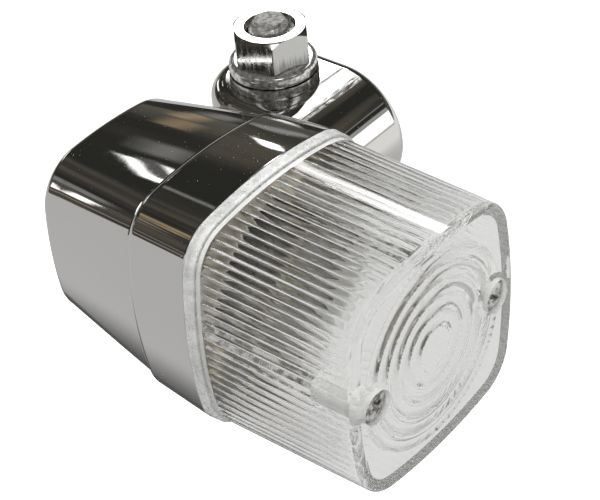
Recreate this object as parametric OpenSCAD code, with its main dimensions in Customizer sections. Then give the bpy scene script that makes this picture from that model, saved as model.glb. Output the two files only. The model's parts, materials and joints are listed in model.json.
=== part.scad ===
// Vehicle indicator lamp: a chromed cast body with a side foot and an upright
// mounting stud, a clear fluted lens held by two long screws, and the bulb,
// bayonet holder and fittings that the body carries inside.
// The origin is on the stud axis, on the top face of the foot.
// Z runs up along the stud and the lens faces -Y.

/* [Body] */
// Width and height of the body where the lens joins it
body_w = 44.5; // [43:0.1:47]
// Corner radius of the body where the lens joins it
corner_r = 7.9; // [6.5:0.1:9]
// Radius of the slight outward bow of the sides
bow_r = 76; // [66:1:110]
// Wall thickness of the casting
wall = 2.5; // [2.2:0.1:2.9]
// Length of the front collar
collar_len = 13.4; // [12:0.1:18]
// Inward taper of the collar on each side, from front to back
collar_taper = 0.95; // [0.4:0.05:1.3]
// Height of the step behind the collar
step_h = 0.65; // [0.3:0.05:1]
// Rounding of the collar's rear edge
step_edge_r = 0.6; // [0.2:0.05:0.9]
// Length of the tapered rear part
rear_len = 24.4; // [22:0.1:30]
// Inward taper of the rear part on each side, from the step to its back edge
rear_taper = 3.35; // [2.4:0.05:4]
// Corner radius of the rear part at its back edge
rear_corner_r = 9.8; // [8:0.1:11]
// Rounding of the rear edge
rear_edge_r = 2; // [1.2:0.1:2.4]
// Thickness of the collar's lip round the lens
lip = 1.3; // [1:0.05:1.5]
// Depth of the seat inside the collar's lip
seat_depth = 3; // [2.4:0.1:4]

/* [Foot] */
// Height of the foot, which is twice the radius of its nose
foot_h = 26.4; // [24:0.2:30]
// Width of the foot
foot_w = 24; // [22:0.2:26]
// Distance of the nose's centre in front of the stud
nose_reach = 8; // [6:0.2:11]
// Rounding of the foot's edges
foot_edge_r = 3; // [1.5:0.1:4]
// Sideways distance between the stud's axis and the body where the lens joins it
stud_to_body = 10.05; // [9.6:0.05:12]
// Distance from the stud back to the rear face
stud_to_rear = 11.7; // [10:0.1:14]
// Wall left round the hollow core of the foot
core_wall = 3.4; // [2.8:0.1:4.5]
// Drop of the neck below the foot's top and bottom faces
neck_drop = 2.4; // [1.5:0.1:4]
// Distance of the neck's rear edge behind the stud
neck_back = 1; // [0:0.1:3]

/* [Stud, nut and washers] */
// Diameter of the mounting stud
stud_d = 8; // [6:0.5:10]
// Depth of the stud in the foot
stud_embed = 9; // [7:0.5:11]
// Length of the stud's bevelled tip
stud_tip = 1.4; // [0.8:0.1:2]
// Height of the stud above the nut
stud_proud = 1.3; // [0.8:0.1:4]
// Outer diameter of the lock washer
lock_d = 16.6; // [15:0.1:19]
// Thickness of the lock washer
lock_t = 2.1; // [1.6:0.1:2.6]
// Width of the split in the lock washer
lock_split = 1; // [0.6:0.1:1.6]
// Direction of the split, anticlockwise from +X seen from above
lock_turn = 133; // [0:1:359]
// Outer diameter of the plain washer
washer_d = 16.3; // [15:0.1:19]
// Thickness of the plain washer
washer_t = 2.3; // [1.6:0.1:2.6]
// Rounding of the plain washer's upper edge
washer_edge_r = 0.8; // [0.3:0.1:1]
// Clearance between the washers and the stud
washer_gap = 0.25; // [0.1:0.05:0.4]
// Width of the nut across its flats
nut_af = 13; // [12:0.5:17]
// Height of the nut
nut_h = 6.5; // [5:0.1:8]
// Turn of the nut about the stud
nut_turn = 43; // [0:1:59]
// Clearance between each thread and its hole
thread_gap = 0.02; // [0.01:0.01:0.05]

/* [Lens] */
// Depth of the lens in front of the collar
lens_depth = 33.8; // [30:0.1:38]
// Height of the lens's flange above its walls
flange_step = 0.7; // [0.3:0.05:1.2]
// Inward taper of the lens on each side, from its flange to its front
lens_taper = 0.6; // [0.2:0.05:1.2]
// Corner radius of the lens at its front edge
lens_corner_r = 8; // [6.5:0.1:9]
// Wall thickness of the lens between its flutes
lens_wall = 2.2; // [1.8:0.1:2.4]
// Thickness of the lens's front face
front_t = 2.6; // [2.2:0.1:3.4]
// Width of the flange beside the collar
flange_t = 2.3; // [1.8:0.1:3]
// Rounding of the lens's front edge
lens_edge_r = 1.2; // [0.6:0.1:1.6]
// Bulge of the front face at its middle
dome = 0.4; // [0.2:0.05:0.8]
// Number of flutes round the inside, in fours
flutes = 84; // [72:4:96]
// Height of each flute
flute_h = 0.45; // [0.3:0.05:0.6]
// Number of lens rings inside the front face
ring_count = 5; // [3:1:5]
// Spacing of the lens rings
ring_pitch = 2.8; // [2.2:0.1:2.8]
// Radius of the plain disc inside the rings
disc_r = 3.8; // [3:0.1:4.2]
// Height of each ring
ring_h = 0.7; // [0.4:0.05:0.9]
// Clearance between the lens and the collar's lip
lens_gap = 0.1; // [0.05:0.05:0.2]
// Thickness of the lens gasket
gasket_t = 1; // [0.7:0.1:1.4]

/* [Lens screws] */
// Distance of each lens screw's axis inside the lens's inner wall
screw_inset = 2.75; // [2:0.05:4]
// Thread diameter of the lens and plate screws
screw_d = 3; // [2.6:0.1:3.2]
// Head diameter of the lens and plate screws
head_d = 5.8; // [5:0.1:6.2]
// Head height of the lens and plate screws
head_h = 2.1; // [1.6:0.1:2.4]
// Depth of the head below the lens face
head_sink = 0.3; // [0:0.1:0.6]
// Length of the lens screws under the head
screw_len = 48; // [44:1:54]
// Length of the pillars inside the lens
pillar_len = 7; // [5:0.5:10]
// Wall round the screw heads in the lens
pillar_wall = 0.9; // [0.7:0.1:1.2]
// Clearance round the screws where they pass through
screw_gap = 0.3; // [0.15:0.05:0.5]

/* [Bulb carrier] */
// Distance of the carrier plate behind the lens gasket's seat
plate_setback = 4.1; // [3:0.1:6]
// Thickness of the carrier plate
plate_t = 1; // [0.8:0.1:1.5]
// Clearance between the carrier plate and the collar
plate_gap = 0.35; // [0.2:0.05:0.6]
// Diameter of the cast posts
post_d = 6.6; // [5.6:0.1:7.4]
// Gap between the plate screws' heads and the wall
plate_screw_gap = 0.9; // [0.5:0.05:2]
// Length of the plate screws under the head
plate_screw_len = 8; // [6:1:12]
// Diameter of the bulb cap
cap_d = 15; // [14.8:0.1:15.2]
// Wall of the holder tube
tube_wall = 0.6; // [0.4:0.05:0.8]
// Clearance between the bulb cap and the holder tube
cap_gap = 0.2; // [0.1:0.05:0.3]
// Length of the holder tube in front of the plate
tube_proud = 2.5; // [1.5:0.1:4]
// Space for the wiring between the rear wall and the holder tube
wiring_space = 4; // [3:0.1:6]
// Gap between the holder's flange and the plate screws' heads
holder_flange_gap = 0.3; // [0.2:0.1:2]
// Thickness of the holder's flange
holder_flange_t = 0.8; // [0.6:0.1:1.2]
// Diameter of the holder's rivets
rivet_d = 1.8; // [1.4:0.1:2.2]

/* [Contacts] */
// Thickness of the rim of the terminal disc
terminal_rim_t = 1; // [0.8:0.1:1.4]
// Depth of the terminal disc inside the tube
terminal_plug_t = 1.4; // [1:0.1:2]
// Diameter of the terminal and plunger shanks
shank_d = 3; // [2:0.1:3.4]
// Diameter of the terminal and plunger heads
contact_head_d = 4.6; // [4:0.1:4.8]
// Thickness of the terminal and plunger heads
contact_head_t = 0.8; // [0.5:0.1:1]
// Width of the terminal tab
tab_w = 6.3; // [4.8:0.1:6.5]
// Thickness of the terminal tab
tab_t = 0.8; // [0.5:0.1:1]
// Gap between the terminal tab and the upper post
tab_gap = 1.4; // [0.6:0.1:4]
// Gap between the contact spring and the heads inside it
spring_gap = 0.3; // [0.2:0.05:0.8]
// Wire diameter of the contact spring
spring_wire = 0.6; // [0.4:0.05:0.7]
// Turns of the contact spring
spring_turns = 4; // [3:1:5]
// Thickness of the plunger disc
plunger_disc_t = 1.6; // [1.2:0.1:2]
// Height of the plunger in front of its disc
plunger_h = 1.8; // [1.2:0.1:2.4]

/* [Bulb] */
// Distance of the bulb's base contact behind the carrier plate
bulb_setback = 14; // [13:0.1:15]
// Overall length of the bulb
bulb_len = 37.5; // [35:0.1:40]
// Diameter of the bulb's globe
globe_d = 19; // [17:0.1:22]
// Gap between the bulb's neck and its cap
neck_gap = 0.2; // [0.1:0.05:0.4]
// Thickness of the bulb's glass
glass_t = 0.6; // [0.4:0.05:0.9]
// Length of the brass cap
cap_len = 14.5; // [13:0.1:16]
// Wall of the brass cap
cap_wall = 0.4; // [0.3:0.05:0.6]
// Diameter of the bayonet pins
pin_d = 2; // [1.6:0.1:2.2]
// Height of the bayonet pins on the cap
pin_h = 1.2; // [0.9:0.1:1.3]
// Distance of the bayonet pins from the base contact
pin_at = 7; // [6.5:0.1:8]
// Diameter of the base contact
base_contact_d = 4.8; // [3.6:0.1:5.4]
// Height of the base contact
base_contact_h = 0.8; // [0.5:0.1:1.1]
// Thickness of the insulator in the cap's base
insulator_t = 2.4; // [1.8:0.1:3]
// Thickness of the flare at the foot of the glass stem
flare_t = 2; // [1.4:0.1:3]
// Glass outside each lead in the stem
stem_wall = 0.5; // [0.3:0.05:1]
// Distance of the stem's top behind the filament
stem_drop = 6.5; // [4:0.5:9]
// Diameter of the lead wires in the bulb
lead_d = 0.6; // [0.4:0.1:0.8]
// Half the span of the filament
filament_reach = 3.4; // [2.6:0.1:4]
// Diameter of the coiled filament
filament_d = 0.7; // [0.4:0.1:0.9]

/* [Cable entry] */
// Gap between the grommet's flange and the corner of the wall
entry_margin = 0.75; // [0.5:0.05:2]
// Bore of the grommet
grommet_bore = 4.2; // [3.4:0.1:4.4]
// Diameter of the hole in the rear wall
entry_d = 6.6; // [6:0.1:7]
// Diameter of the grommet's flanges
grommet_d = 8.8; // [8:0.1:9]
// Thickness of the grommet's flanges
grommet_t = 1.2; // [0.8:0.1:1.5]

/* [Hidden] */
$fn = 48;
side_steps = 6;
corner_steps = 8;
flute_shape = [0, 0.7, 1, 0.7];
through = 60;

// Small fixed sizes
gasket_w = 1.3;
neck_sink = 5;
neck_len = 10;
core_back = 4;
window_w = 14;
window_h = 5;
window_sink = 6;
window_drop = 1;
notch_gap = 0.2;
nut_bevel = 1.6;
nut_face_in = 0.25;
nut_sink = 0.5;
flange_edge = 0.25;
flange_draft = 0.1;
ring_lap = 0.08;
pan_r = 3.6;
cross_w = 1.6;
cross_t = 0.8;
pin_push = 1.2;
slot_turn = 36;
rivet_head = 1.8;

// Stations along the lamp's axis, counted forwards from the stud
rear_at = -stud_to_rear;
step_at = rear_at + rear_len;
joint_at = step_at + collar_len;
front_at = joint_at + lens_depth;
floor_at = rear_at + wall;
seat_at = joint_at - seat_depth;
spigot_at = seat_at + gasket_t;
flange_at = joint_at + flange_t;
inner_front_at = front_at - front_t;
plate_at = seat_at - plate_setback;
plate_front = plate_at + plate_t;
tube_front = plate_front + tube_proud;

// Half widths of the square sections
joint_h = body_w / 2;
collar_back_h = joint_h - collar_taper;
rear_front_h = collar_back_h - step_h;
rear_h = rear_front_h - rear_taper;
lens_back_h = joint_h - flange_step;
lens_front_h = lens_back_h - lens_taper;
axis_offset = joint_h + stud_to_body;
seat_h = joint_h - lip;
cavity_front_h = joint_h - wall;
spigot_h = seat_h - lens_gap;
lens_inner_back_h = lens_back_h - lens_wall;
lens_inner_front_h = lens_front_h - lens_wall;

// Radii and levels of the mounting parts
stud_r = stud_d / 2;
foot_r = foot_h / 2;
lock_top = lock_t;
washer_top = lock_top + washer_t;
nut_top = washer_top + nut_h;
stud_top = nut_top + stud_proud;

// Levels in the foot's hollow core
core_top = -(stud_embed + core_wall);
core_floor = core_wall - foot_h;
core_half = foot_w / 2 - core_wall;
core_nose_r = foot_r - core_wall;

// Screw levels
lens_head_at = front_at - head_sink - head_h;
lens_screw_tip = lens_head_at - screw_len;
plate_screw_tip = plate_front - plate_screw_len;
screw_reach = lens_inner_front_h - screw_inset;
screw_r = screw_d / 2;
head_r = head_d / 2;
tap_r = screw_r + thread_gap;
pass_r = screw_r + screw_gap;
post_r = post_d / 2;
hole_end = 1.5;
head_clear = 0.15;
pillar_r = head_r + head_clear + pillar_wall;
pillar_back = inner_front_at - pillar_len;
plate_screw_reach = cavity_half(plate_front) - plate_screw_gap - head_r;

// Radii of the holder and the contacts
cap_r = cap_d / 2;
tube_in_r = cap_r + cap_gap;
tube_out_r = tube_in_r + tube_wall;
tube_rear = floor_at + wiring_space;
plug_front = tube_rear + terminal_plug_t;
disc_back = tube_rear - terminal_rim_t;
bulb_at = plate_at - bulb_setback;
plunger_front = bulb_at;
plunger_disc_front = plunger_front - plunger_h;
plunger_disc_back = plunger_disc_front - plunger_disc_t;
bulb_tip = bulb_at + bulb_len;
cap_back = bulb_at + base_contact_h;
cap_front = cap_back + cap_len;
glass_back = cap_back + insulator_t;
globe_r = globe_d / 2;
globe_at = bulb_tip - globe_r;
neck_r = cap_r - cap_wall - neck_gap;
lead_r = lead_d / 2;
stem_top = globe_at - stem_drop;
slip = 0.1;
pin_r = pin_d / 2;
pin_level = bulb_at + pin_at;
pin_end_r = cap_r + pin_h;
notch_r = pin_end_r + notch_gap;
holder_flange_r = plate_screw_reach - head_r - holder_flange_gap;
rivet_reach = (notch_r + holder_flange_r) / 2;
rivet_r = rivet_d / 2;
shank_r = shank_d / 2;
contact_head_r = contact_head_d / 2;
spring_r = contact_head_r + spring_gap + spring_wire / 2;
stem_r = filament_reach + lead_r + stem_wall;
tab_len = plate_screw_reach - post_r - tab_gap;
grommet_r = grommet_d / 2;
entry_reach = corner_c(cavity_half(floor_at), cavity_corner(floor_at), bow_r)
    + (cavity_corner(floor_at) - grommet_r - entry_margin) * cos(45);

// Puts a piece that is drawn along the lamp's axis in its place
module on_axis() {
    translate([-axis_offset, 0, -foot_r]) rotate([90, 0, 0]) children();
}

module left_and_right(reach) {
    for (side = [-1, 1]) translate([side * reach, 0, 0]) children();
}

module above_and_below(reach) {
    for (side = [-1, 1]) translate([0, side * reach, 0]) children();
}

// A ring, tube or plain disc between two levels
module disc(r, back, front) {
    translate([0, 0, back]) cylinder(r = r, h = front - back);
}

module ring(outer, inner, back, front) {
    difference() {
        disc(outer, back, front);
        disc(inner, back - 1, front + 1);
    }
}

// Centre of a corner arc that runs smoothly into two bowed sides
function corner_c(h, r, bow) = (-(bow - h) + sqrt(2 * pow(bow - r, 2) - pow(bow - h, 2))) / 2;
function side_angle(h, r, bow) = let(c = corner_c(h, r, bow)) atan2(c, c + bow - h);
function turned(p, q) =
    [p[0] * cos(90 * q) - p[1] * sin(90 * q), p[0] * sin(90 * q) + p[1] * cos(90 * q)];

// One side and one corner of the square section
function quarter(h, r, bow) =
    let(c = corner_c(h, r, bow), a = side_angle(h, r, bow))
    concat(
        [for (i = [0:side_steps - 1]) let(t = -a + 2 * a * i / side_steps)
            [h - bow + bow * cos(t), bow * sin(t)]],
        [for (i = [0:corner_steps - 1]) let(t = a + (90 - 2 * a) * i / corner_steps)
            [c + r * cos(t), c + r * sin(t)]]);
function smooth_ring(h, r, bow = bow_r) =
    [for (q = [0:3]) for (p = quarter(h, r, bow)) turned(p, q)];

// A point at the share u of the way round the section, moved inwards by inset
function ring_point(h, r, bow, u, inset) =
    let(q = floor(4 * u), c = corner_c(h, r, bow), a = side_angle(h, r, bow),
        side_len = bow * a, corner_len = r * (90 - 2 * a),
        s = (4 * u - q) * (2 * side_len + corner_len),
        on_side = s < side_len, on_corner = s < side_len + corner_len,
        t = on_side ? s / bow
          : on_corner ? a + (s - side_len) / r
          : (2 * side_len + corner_len - s) / bow,
        p = on_side ? [h - bow + (bow - inset) * cos(t), (bow - inset) * sin(t)]
          : on_corner ? [c + (r - inset) * cos(t), c + (r - inset) * sin(t)]
          : [(bow - inset) * sin(t), h - bow + (bow - inset) * cos(t)])
    turned(p, q);
function fluted_ring(h, r, inset) =
    [for (i = [0:4 * flutes - 1])
        ring_point(h, r, bow_r, i / (4 * flutes), inset + flute_h * flute_shape[i % 4])];

// A closed skin through rings of points, all with the same number of points
module skin(rings) {
    n = len(rings[0]);
    m = len(rings);
    points = [for (ring = rings) for (p = ring) p];
    sides = [for (k = [0:m - 2]) for (i = [0:n - 1]) let(j = (i + 1) % n)
        [k * n + i, (k + 1) * n + i, (k + 1) * n + j, k * n + j]];
    back = [for (i = [0:n - 1]) i];
    front = [for (i = [n - 1:-1:0]) (m - 1) * n + i];
    polyhedron(points, concat([back], sides, [front]));
}

function lifted(ring, level) = [for (p = ring) [p[0], p[1], level]];

// Stations are [level, half width, corner radius]
module square_skin(stations) {
    skin([for (s = stations) lifted(smooth_ring(s[1], s[2]), s[0])]);
}

// A flat piece with the square section
module square_plate(h, r, back, front) {
    translate([0, 0, back]) linear_extrude(front - back) polygon(smooth_ring(h, r));
}

// Half width and corner radius along the outside, and inside by the wall
function share(at, from, to) = (at - from) / (to - from);
function mix(a, b, t) = a + (b - a) * t;
function rear_half(at) = mix(rear_h, rear_front_h, share(at, rear_at, step_at));
function rear_corner(at) = mix(rear_corner_r, corner_r, share(at, rear_at, step_at));
function cavity_half(at) = at < step_at ? rear_half(at) - wall
    : mix(rear_front_h - wall, cavity_front_h, share(at, step_at, joint_at));
function cavity_corner(at) = (at < step_at ? rear_corner(at) : corner_r) - wall;
function lens_half(at) = mix(lens_back_h, lens_front_h, share(at, flange_at, front_at));
function lens_corner(at) = mix(corner_r, lens_corner_r, share(at, flange_at, front_at));

module body_outside() {
    rear_edge = [for (t = [0:22.5:90])
        [rear_at + rear_edge_r * (1 - sin(t)),
         rear_half(rear_at + rear_edge_r) - rear_edge_r * (1 - cos(t)),
         rear_corner(rear_at) - rear_edge_r * (1 - cos(t))]];
    step_edge = [for (t = [0:30:90])
        [step_at + step_edge_r * (1 - sin(t)),
         collar_back_h - step_edge_r * (1 - cos(t)),
         corner_r - step_edge_r * (1 - cos(t))]];
    square_skin([for (i = [4:-1:0]) rear_edge[i]]);
    square_skin([rear_edge[0], [step_at + wall, rear_half(step_at), corner_r]]);
    square_skin(concat([for (i = [3:-1:0]) step_edge[i]], [[joint_at, joint_h, corner_r]]));
}

module body_inside() {
    square_skin([[floor_at, cavity_half(floor_at), cavity_corner(floor_at)],
                 [step_at, cavity_half(step_at), cavity_corner(step_at)],
                 [joint_at + 1, cavity_half(joint_at + 1), cavity_corner(joint_at)]]);
    square_plate(seat_h, corner_r - lip, seat_at, joint_at + 1);
}

module rounded_section(w, h, r) {
    square([w - 2 * r, h], center = true);
    square([w, h - 2 * r], center = true);
    for (x = [-1, 1], y = [-1, 1])
        translate([x * (w / 2 - r), y * (h / 2 - r)]) circle(r, $fn = 24);
}

module rounded_disc(r, w, edge) {
    rotate_extrude($fn = 72) intersection() {
        rounded_section(2 * r, w, edge);
        translate([0, -w]) square([2 * r, 2 * w]);
    }
}

// The foot: a half-round nose, a straight middle and a half-round back
module foot() {
    translate([0, -nose_reach, -foot_r]) rotate([0, 90, 0]) rounded_disc(foot_r, foot_w, foot_edge_r);
    translate([0, 0, -foot_r]) rotate([90, 0, 0])
        linear_extrude(nose_reach) rounded_section(foot_w, foot_h, foot_edge_r);
    translate([0, 0, -foot_r]) rounded_disc(foot_w / 2, foot_h, foot_edge_r);
}

module neck() {
    r = foot_r - neck_drop;
    translate([-foot_w / 2 - neck_sink, 0, -foot_r]) rotate([90, 0, 90]) linear_extrude(neck_len) {
        translate([-nose_reach, 0]) circle(r, $fn = 72);
        translate([-nose_reach, -r]) square([nose_reach - neck_back, 2 * r]);
    }
}

// Hollow core of the foot, and its window to the inside of the body
module core() {
    translate([-core_half, 0, -foot_r]) rotate([90, 0, 90]) linear_extrude(2 * core_half)
        intersection() {
            union() {
                translate([-nose_reach, 0]) circle(core_nose_r);
                translate([-nose_reach, -core_nose_r]) square([nose_reach + core_back, 2 * core_nose_r]);
            }
            translate([-foot_h, -core_nose_r]) square([2 * foot_h, core_top + foot_r + core_nose_r]);
        }
    translate([-foot_w / 2 - window_sink, -nose_reach - window_w / 2, -foot_r - post_r - window_drop - window_h])
        cube([window_sink + 2 * core_wall, window_w, window_h]);
}

module housing() {
    color("silver") difference() {
        union() {
            difference() {
                union() {
                    on_axis() body_outside();
                    foot();
                    neck();
                }
                on_axis() body_inside();
                core();
            }
            on_axis() intersection() {
                body_outside();
                union() {
                    left_and_right(screw_reach) disc(post_r, rear_at + wall / 2, plate_at);
                    above_and_below(plate_screw_reach) disc(post_r, rear_at + wall / 2, plate_at);
                }
            }
        }
        on_axis() {
            left_and_right(screw_reach) disc(tap_r, lens_screw_tip - hole_end, plate_at + 1);
            above_and_below(plate_screw_reach) disc(tap_r, plate_screw_tip - hole_end, plate_at + 1);
            translate([-entry_reach, -entry_reach, 0]) disc(entry_d / 2, rear_at - 1, floor_at + 1);
        }
        disc(stud_r + thread_gap, -stud_embed, 1);
    }
}

module mounting_stud() {
    tip_r = stud_r - stud_tip;
    color("darkgray") {
        disc(stud_r, -stud_embed, stud_top - stud_tip);
        translate([0, 0, stud_top - stud_tip]) cylinder(r1 = stud_r, r2 = tip_r, h = stud_tip);
    }
}

module lock_washer() {
    color("silver") difference() {
        ring(lock_d / 2, stud_r + washer_gap, 0, lock_top);
        rotate(lock_turn) translate([0, -lock_split / 2, -1]) cube([lock_d, lock_split, lock_top + 2]);
    }
}

module plain_washer() {
    outer = washer_d / 2;
    inner = stud_r + washer_gap;
    color("silver") translate([0, 0, lock_top]) rotate_extrude($fn = 72) difference() {
        union() {
            translate([inner, 0]) square([outer - inner, washer_t - washer_edge_r]);
            translate([inner, 0]) square([outer - inner - washer_edge_r, washer_t]);
            translate([outer - washer_edge_r, washer_t - washer_edge_r]) circle(washer_edge_r, $fn = 24);
        }
        translate([inner - 1, -1]) square([1, washer_t + 2]);
    }
}

module mounting_nut() {
    across = nut_af / cos(30);
    color("silver") translate([0, 0, washer_top]) difference() {
        intersection() {
            rotate(nut_turn) cylinder(d = across, h = nut_h, $fn = 6);
            rotate_extrude($fn = 72) polygon([
                [0, 0],
                [across / 2, 0],
                [across / 2, nut_h - nut_bevel],
                [nut_af / 2 - nut_face_in, nut_h],
                [0, nut_h]]);
        }
        disc(stud_r + thread_gap, -1, nut_h + 1);
        translate([0, 0, nut_h - nut_sink]) cylinder(r1 = stud_r, r2 = stud_r + 2 * nut_sink, h = 2 * nut_sink);
    }
}

module lens_outside() {
    edge = [for (t = [90:-15:0])
        [front_at - lens_edge_r * (1 - sin(t)),
         lens_half(front_at) - lens_edge_r * (1 - cos(t)),
         lens_corner(front_at) - lens_edge_r * (1 - cos(t))]];
    face = smooth_ring(edge[0][1], edge[0][2]);
    body = [lifted(smooth_ring(lens_half(joint_at), corner_r), joint_at)];
    rim = [for (i = [6:-1:0]) lifted(smooth_ring(edge[i][1], edge[i][2]), edge[i][0])];
    bulge = [for (s = [0.75, 0.5, 0.25])
        lifted([for (p = face) s * p], front_at + dome * (1 - s * s))];
    skin(concat(body, rim, bulge));
    square_skin([[joint_at, joint_h, corner_r],
                 [flange_at - flange_edge, joint_h - flange_draft, corner_r],
                 [flange_at, joint_h - flange_draft - flange_edge, corner_r - flange_edge]]);
    square_plate(spigot_h, corner_r - lip - lens_gap, spigot_at, joint_at);
}

module lens_inside() {
    intersection() {
        skin([lifted(fluted_ring(lens_half(spigot_at), corner_r, lens_wall), spigot_at - 1),
              lifted(fluted_ring(lens_half(front_at), lens_corner(front_at), lens_wall), front_at)]);
        translate([-body_w / 2, -body_w / 2, 0]) cube([body_w, body_w, inner_front_at]);
    }
}

// Rounded rings on the back of the lens's front face
module lens_rings() {
    half_w = ring_pitch / 2 + ring_lap;
    bump_r = (half_w * half_w + ring_h * ring_h) / (2 * ring_h);
    translate([0, 0, inner_front_at]) rotate_extrude($fn = 72) intersection() {
        for (i = [0:ring_count - 1])
            translate([disc_r + (i + 0.5) * ring_pitch, bump_r - ring_h]) circle(bump_r, $fn = 24);
        translate([0, -ring_h]) square([body_w, ring_h + 0.5]);
    }
}

module lens() {
    color("gainsboro", 0.5) on_axis() difference() {
        lens_outside();
        difference() {
            lens_inside();
            lens_rings();
            left_and_right(screw_reach) disc(pillar_r, pillar_back, front_at);
        }
        left_and_right(screw_reach) disc(pass_r, pillar_back - 1, front_at);
        left_and_right(screw_reach) disc(head_r + head_clear, lens_head_at, front_at + 2);
    }
}

module lens_gasket() {
    color("dimgray") on_axis() difference() {
        square_plate(spigot_h, corner_r - lip - lens_gap, seat_at, spigot_at);
        square_plate(seat_h - gasket_w, corner_r - lip - gasket_w, seat_at - 1, spigot_at + 1);
    }
}

// A pan-head screw with a cross recess, its head's underside at the given level
module screw(head_at, length) {
    disc(screw_r, head_at - length, head_at);
    translate([0, 0, head_at]) difference() {
        intersection() {
            cylinder(r = head_r, h = head_h);
            translate([0, 0, head_h - pan_r]) sphere(pan_r, $fn = 72);
        }
        for (turn = [0, 90]) rotate(turn + 45)
            translate([-cross_w, -cross_t / 2, head_h / 2]) cube([2 * cross_w, cross_t, head_h]);
    }
}

module lens_screws() {
    color("silver") on_axis() left_and_right(screw_reach) screw(lens_head_at, screw_len);
}

module carrier_plate() {
    h = cavity_half(plate_at) - plate_gap;
    color("goldenrod") on_axis() difference() {
        square_plate(h, cavity_corner(plate_at) - plate_gap, plate_at, plate_front);
        disc(notch_r, plate_at - 1, plate_front + 1);
        left_and_right(screw_reach) disc(pass_r, plate_at - 1, plate_front + 1);
        above_and_below(plate_screw_reach) disc(pass_r, plate_at - 1, plate_front + 1);
        rivet_places() disc(rivet_r + thread_gap, plate_at - 1, plate_front + 1);
    }
}

module plate_screws() {
    color("silver") on_axis() above_and_below(plate_screw_reach) screw(plate_front, plate_screw_len);
}

module rivet_places() {
    for (turn = [45, 225]) rotate(turn) translate([rivet_reach, 0, 0]) children();
}

module holder_tube() {
    flange_front = plate_front + holder_flange_t;
    color("goldenrod") on_axis() difference() {
        union() {
            disc(tube_out_r, tube_rear, tube_front);
            disc(holder_flange_r, plate_front, flange_front);
        }
        disc(tube_in_r, tube_rear - 1, tube_front + 1);
        rivet_places() disc(rivet_r + thread_gap, plate_front - 1, flange_front + 1);
        for (side = [0, 180]) rotate(side) bayonet_slot();
    }
}

// The way in for a bayonet pin, the turn, and the seat behind its front edge
module bayonet_slot() {
    w = pin_d + 2 * slip;
    bottom = pin_level - pin_r - pin_push;
    intersection() {
        disc(notch_r, bottom, tube_front + 1);
        union() {
            rotate(slot_turn) translate([0, -w / 2, bottom]) cube([body_w, w, through]);
            translate([0, 0, bottom]) rotate_extrude(angle = slot_turn) square([body_w, w]);
            translate([0, -w / 2, bottom]) cube([body_w, w, pin_level + pin_r - bottom]);
        }
    }
}

module holder_rivets() {
    front = plate_front + holder_flange_t;
    color("goldenrod") on_axis() rivet_places() {
        disc(rivet_r, plate_at, front);
        translate([0, 0, front]) cylinder(r1 = rivet_head * rivet_r, r2 = rivet_r, h = rivet_r);
        disc(rivet_head * rivet_r, plate_at - rivet_r / 2, plate_at);
    }
}

module terminal_disc() {
    color("saddlebrown") on_axis() difference() {
        union() {
            disc(tube_out_r, disc_back, tube_rear);
            disc(tube_in_r - slip, tube_rear, plug_front);
        }
        disc(shank_r + thread_gap, disc_back - 1, plug_front + 1);
    }
}

module feed_terminal() {
    color("goldenrod") on_axis() {
        disc(shank_r, disc_back, plug_front);
        disc(contact_head_r, plug_front, plug_front + contact_head_t);
        difference() {
            translate([-tab_w / 2, -tab_w / 2, disc_back - tab_t]) cube([tab_w, tab_w / 2 + tab_len, tab_t]);
            translate([0, tab_len - tab_w / 2, 0]) disc(shank_r / 2, disc_back - through / 4, disc_back + 1);
        }
    }
}

// A wound spring between two flat end coils
module contact_spring() {
    wire = spring_wire / 2;
    r = spring_r;
    low = plug_front + wire;
    high = plunger_disc_back - wire;
    steps = 18 * spring_turns;
    color("silver") on_axis() {
        for (level = [low, high]) translate([0, 0, level]) rotate_extrude($fn = 48)
            translate([r, 0]) circle(wire, $fn = 12);
        skin([for (k = [0:steps]) let(a = 20 * k + 4, level = low + (high - low) * k / steps)
            [for (b = [0:45:315]) let(w = wire * (k == 0 || k == steps ? 0.7 : 0.98))
                [(r + w * cos(b)) * cos(a), (r + w * cos(b)) * sin(a), level - w * sin(b)]]]);
    }
}

module plunger_disc() {
    color("saddlebrown") on_axis() difference() {
        disc(tube_in_r - slip, plunger_disc_back, plunger_disc_front);
        disc(shank_r + thread_gap, plunger_disc_back - 1, plunger_disc_front + 1);
    }
}

module contact_plunger() {
    color("goldenrod") on_axis() {
        disc(shank_r, plunger_disc_back, plunger_disc_front);
        disc(contact_head_r, plunger_disc_front, plunger_front);
        disc(contact_head_r, plunger_disc_back - contact_head_t, plunger_disc_back);
    }
}

module bulb_cap() {
    color("goldenrod") on_axis() difference() {
        ring(cap_r, cap_r - cap_wall, cap_back, cap_front);
        for (side = [0, 180]) rotate([0, 0, side]) translate([0, 0, pin_level]) rotate([0, 90, 0])
            cylinder(r = pin_r + thread_gap, h = cap_d);
    }
}

module bulb_pins() {
    color("goldenrod") on_axis() for (side = [0, 180]) rotate([0, 0, side])
        translate([cap_r - cap_wall, 0, pin_level]) rotate([0, 90, 0])
            cylinder(r = pin_r, h = cap_wall + pin_h);
}

module bulb_insulator() {
    color("black") on_axis() difference() {
        disc(cap_r - cap_wall - thread_gap, cap_back, glass_back);
        disc(base_contact_d / 4 + thread_gap, cap_back - 1, glass_back + 1);
    }
}

module bulb_contact() {
    color("silver") on_axis() {
        disc(base_contact_d / 2, bulb_at, cap_back);
        disc(base_contact_d / 4, cap_back, glass_back);
    }
}

module bulb_glass() {
    color("white", 0.4) on_axis() rotate_extrude($fn = 72) intersection() {
        difference() {
            envelope(0);
            envelope(glass_t);
        }
        translate([0, glass_back]) square([globe_d, bulb_len]);
    }
}

module envelope(inset) {
    translate([0, globe_at]) circle(globe_r - inset, $fn = 72);
    translate([0, glass_back - inset]) square([neck_r - inset, globe_at - glass_back]);
}

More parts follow.
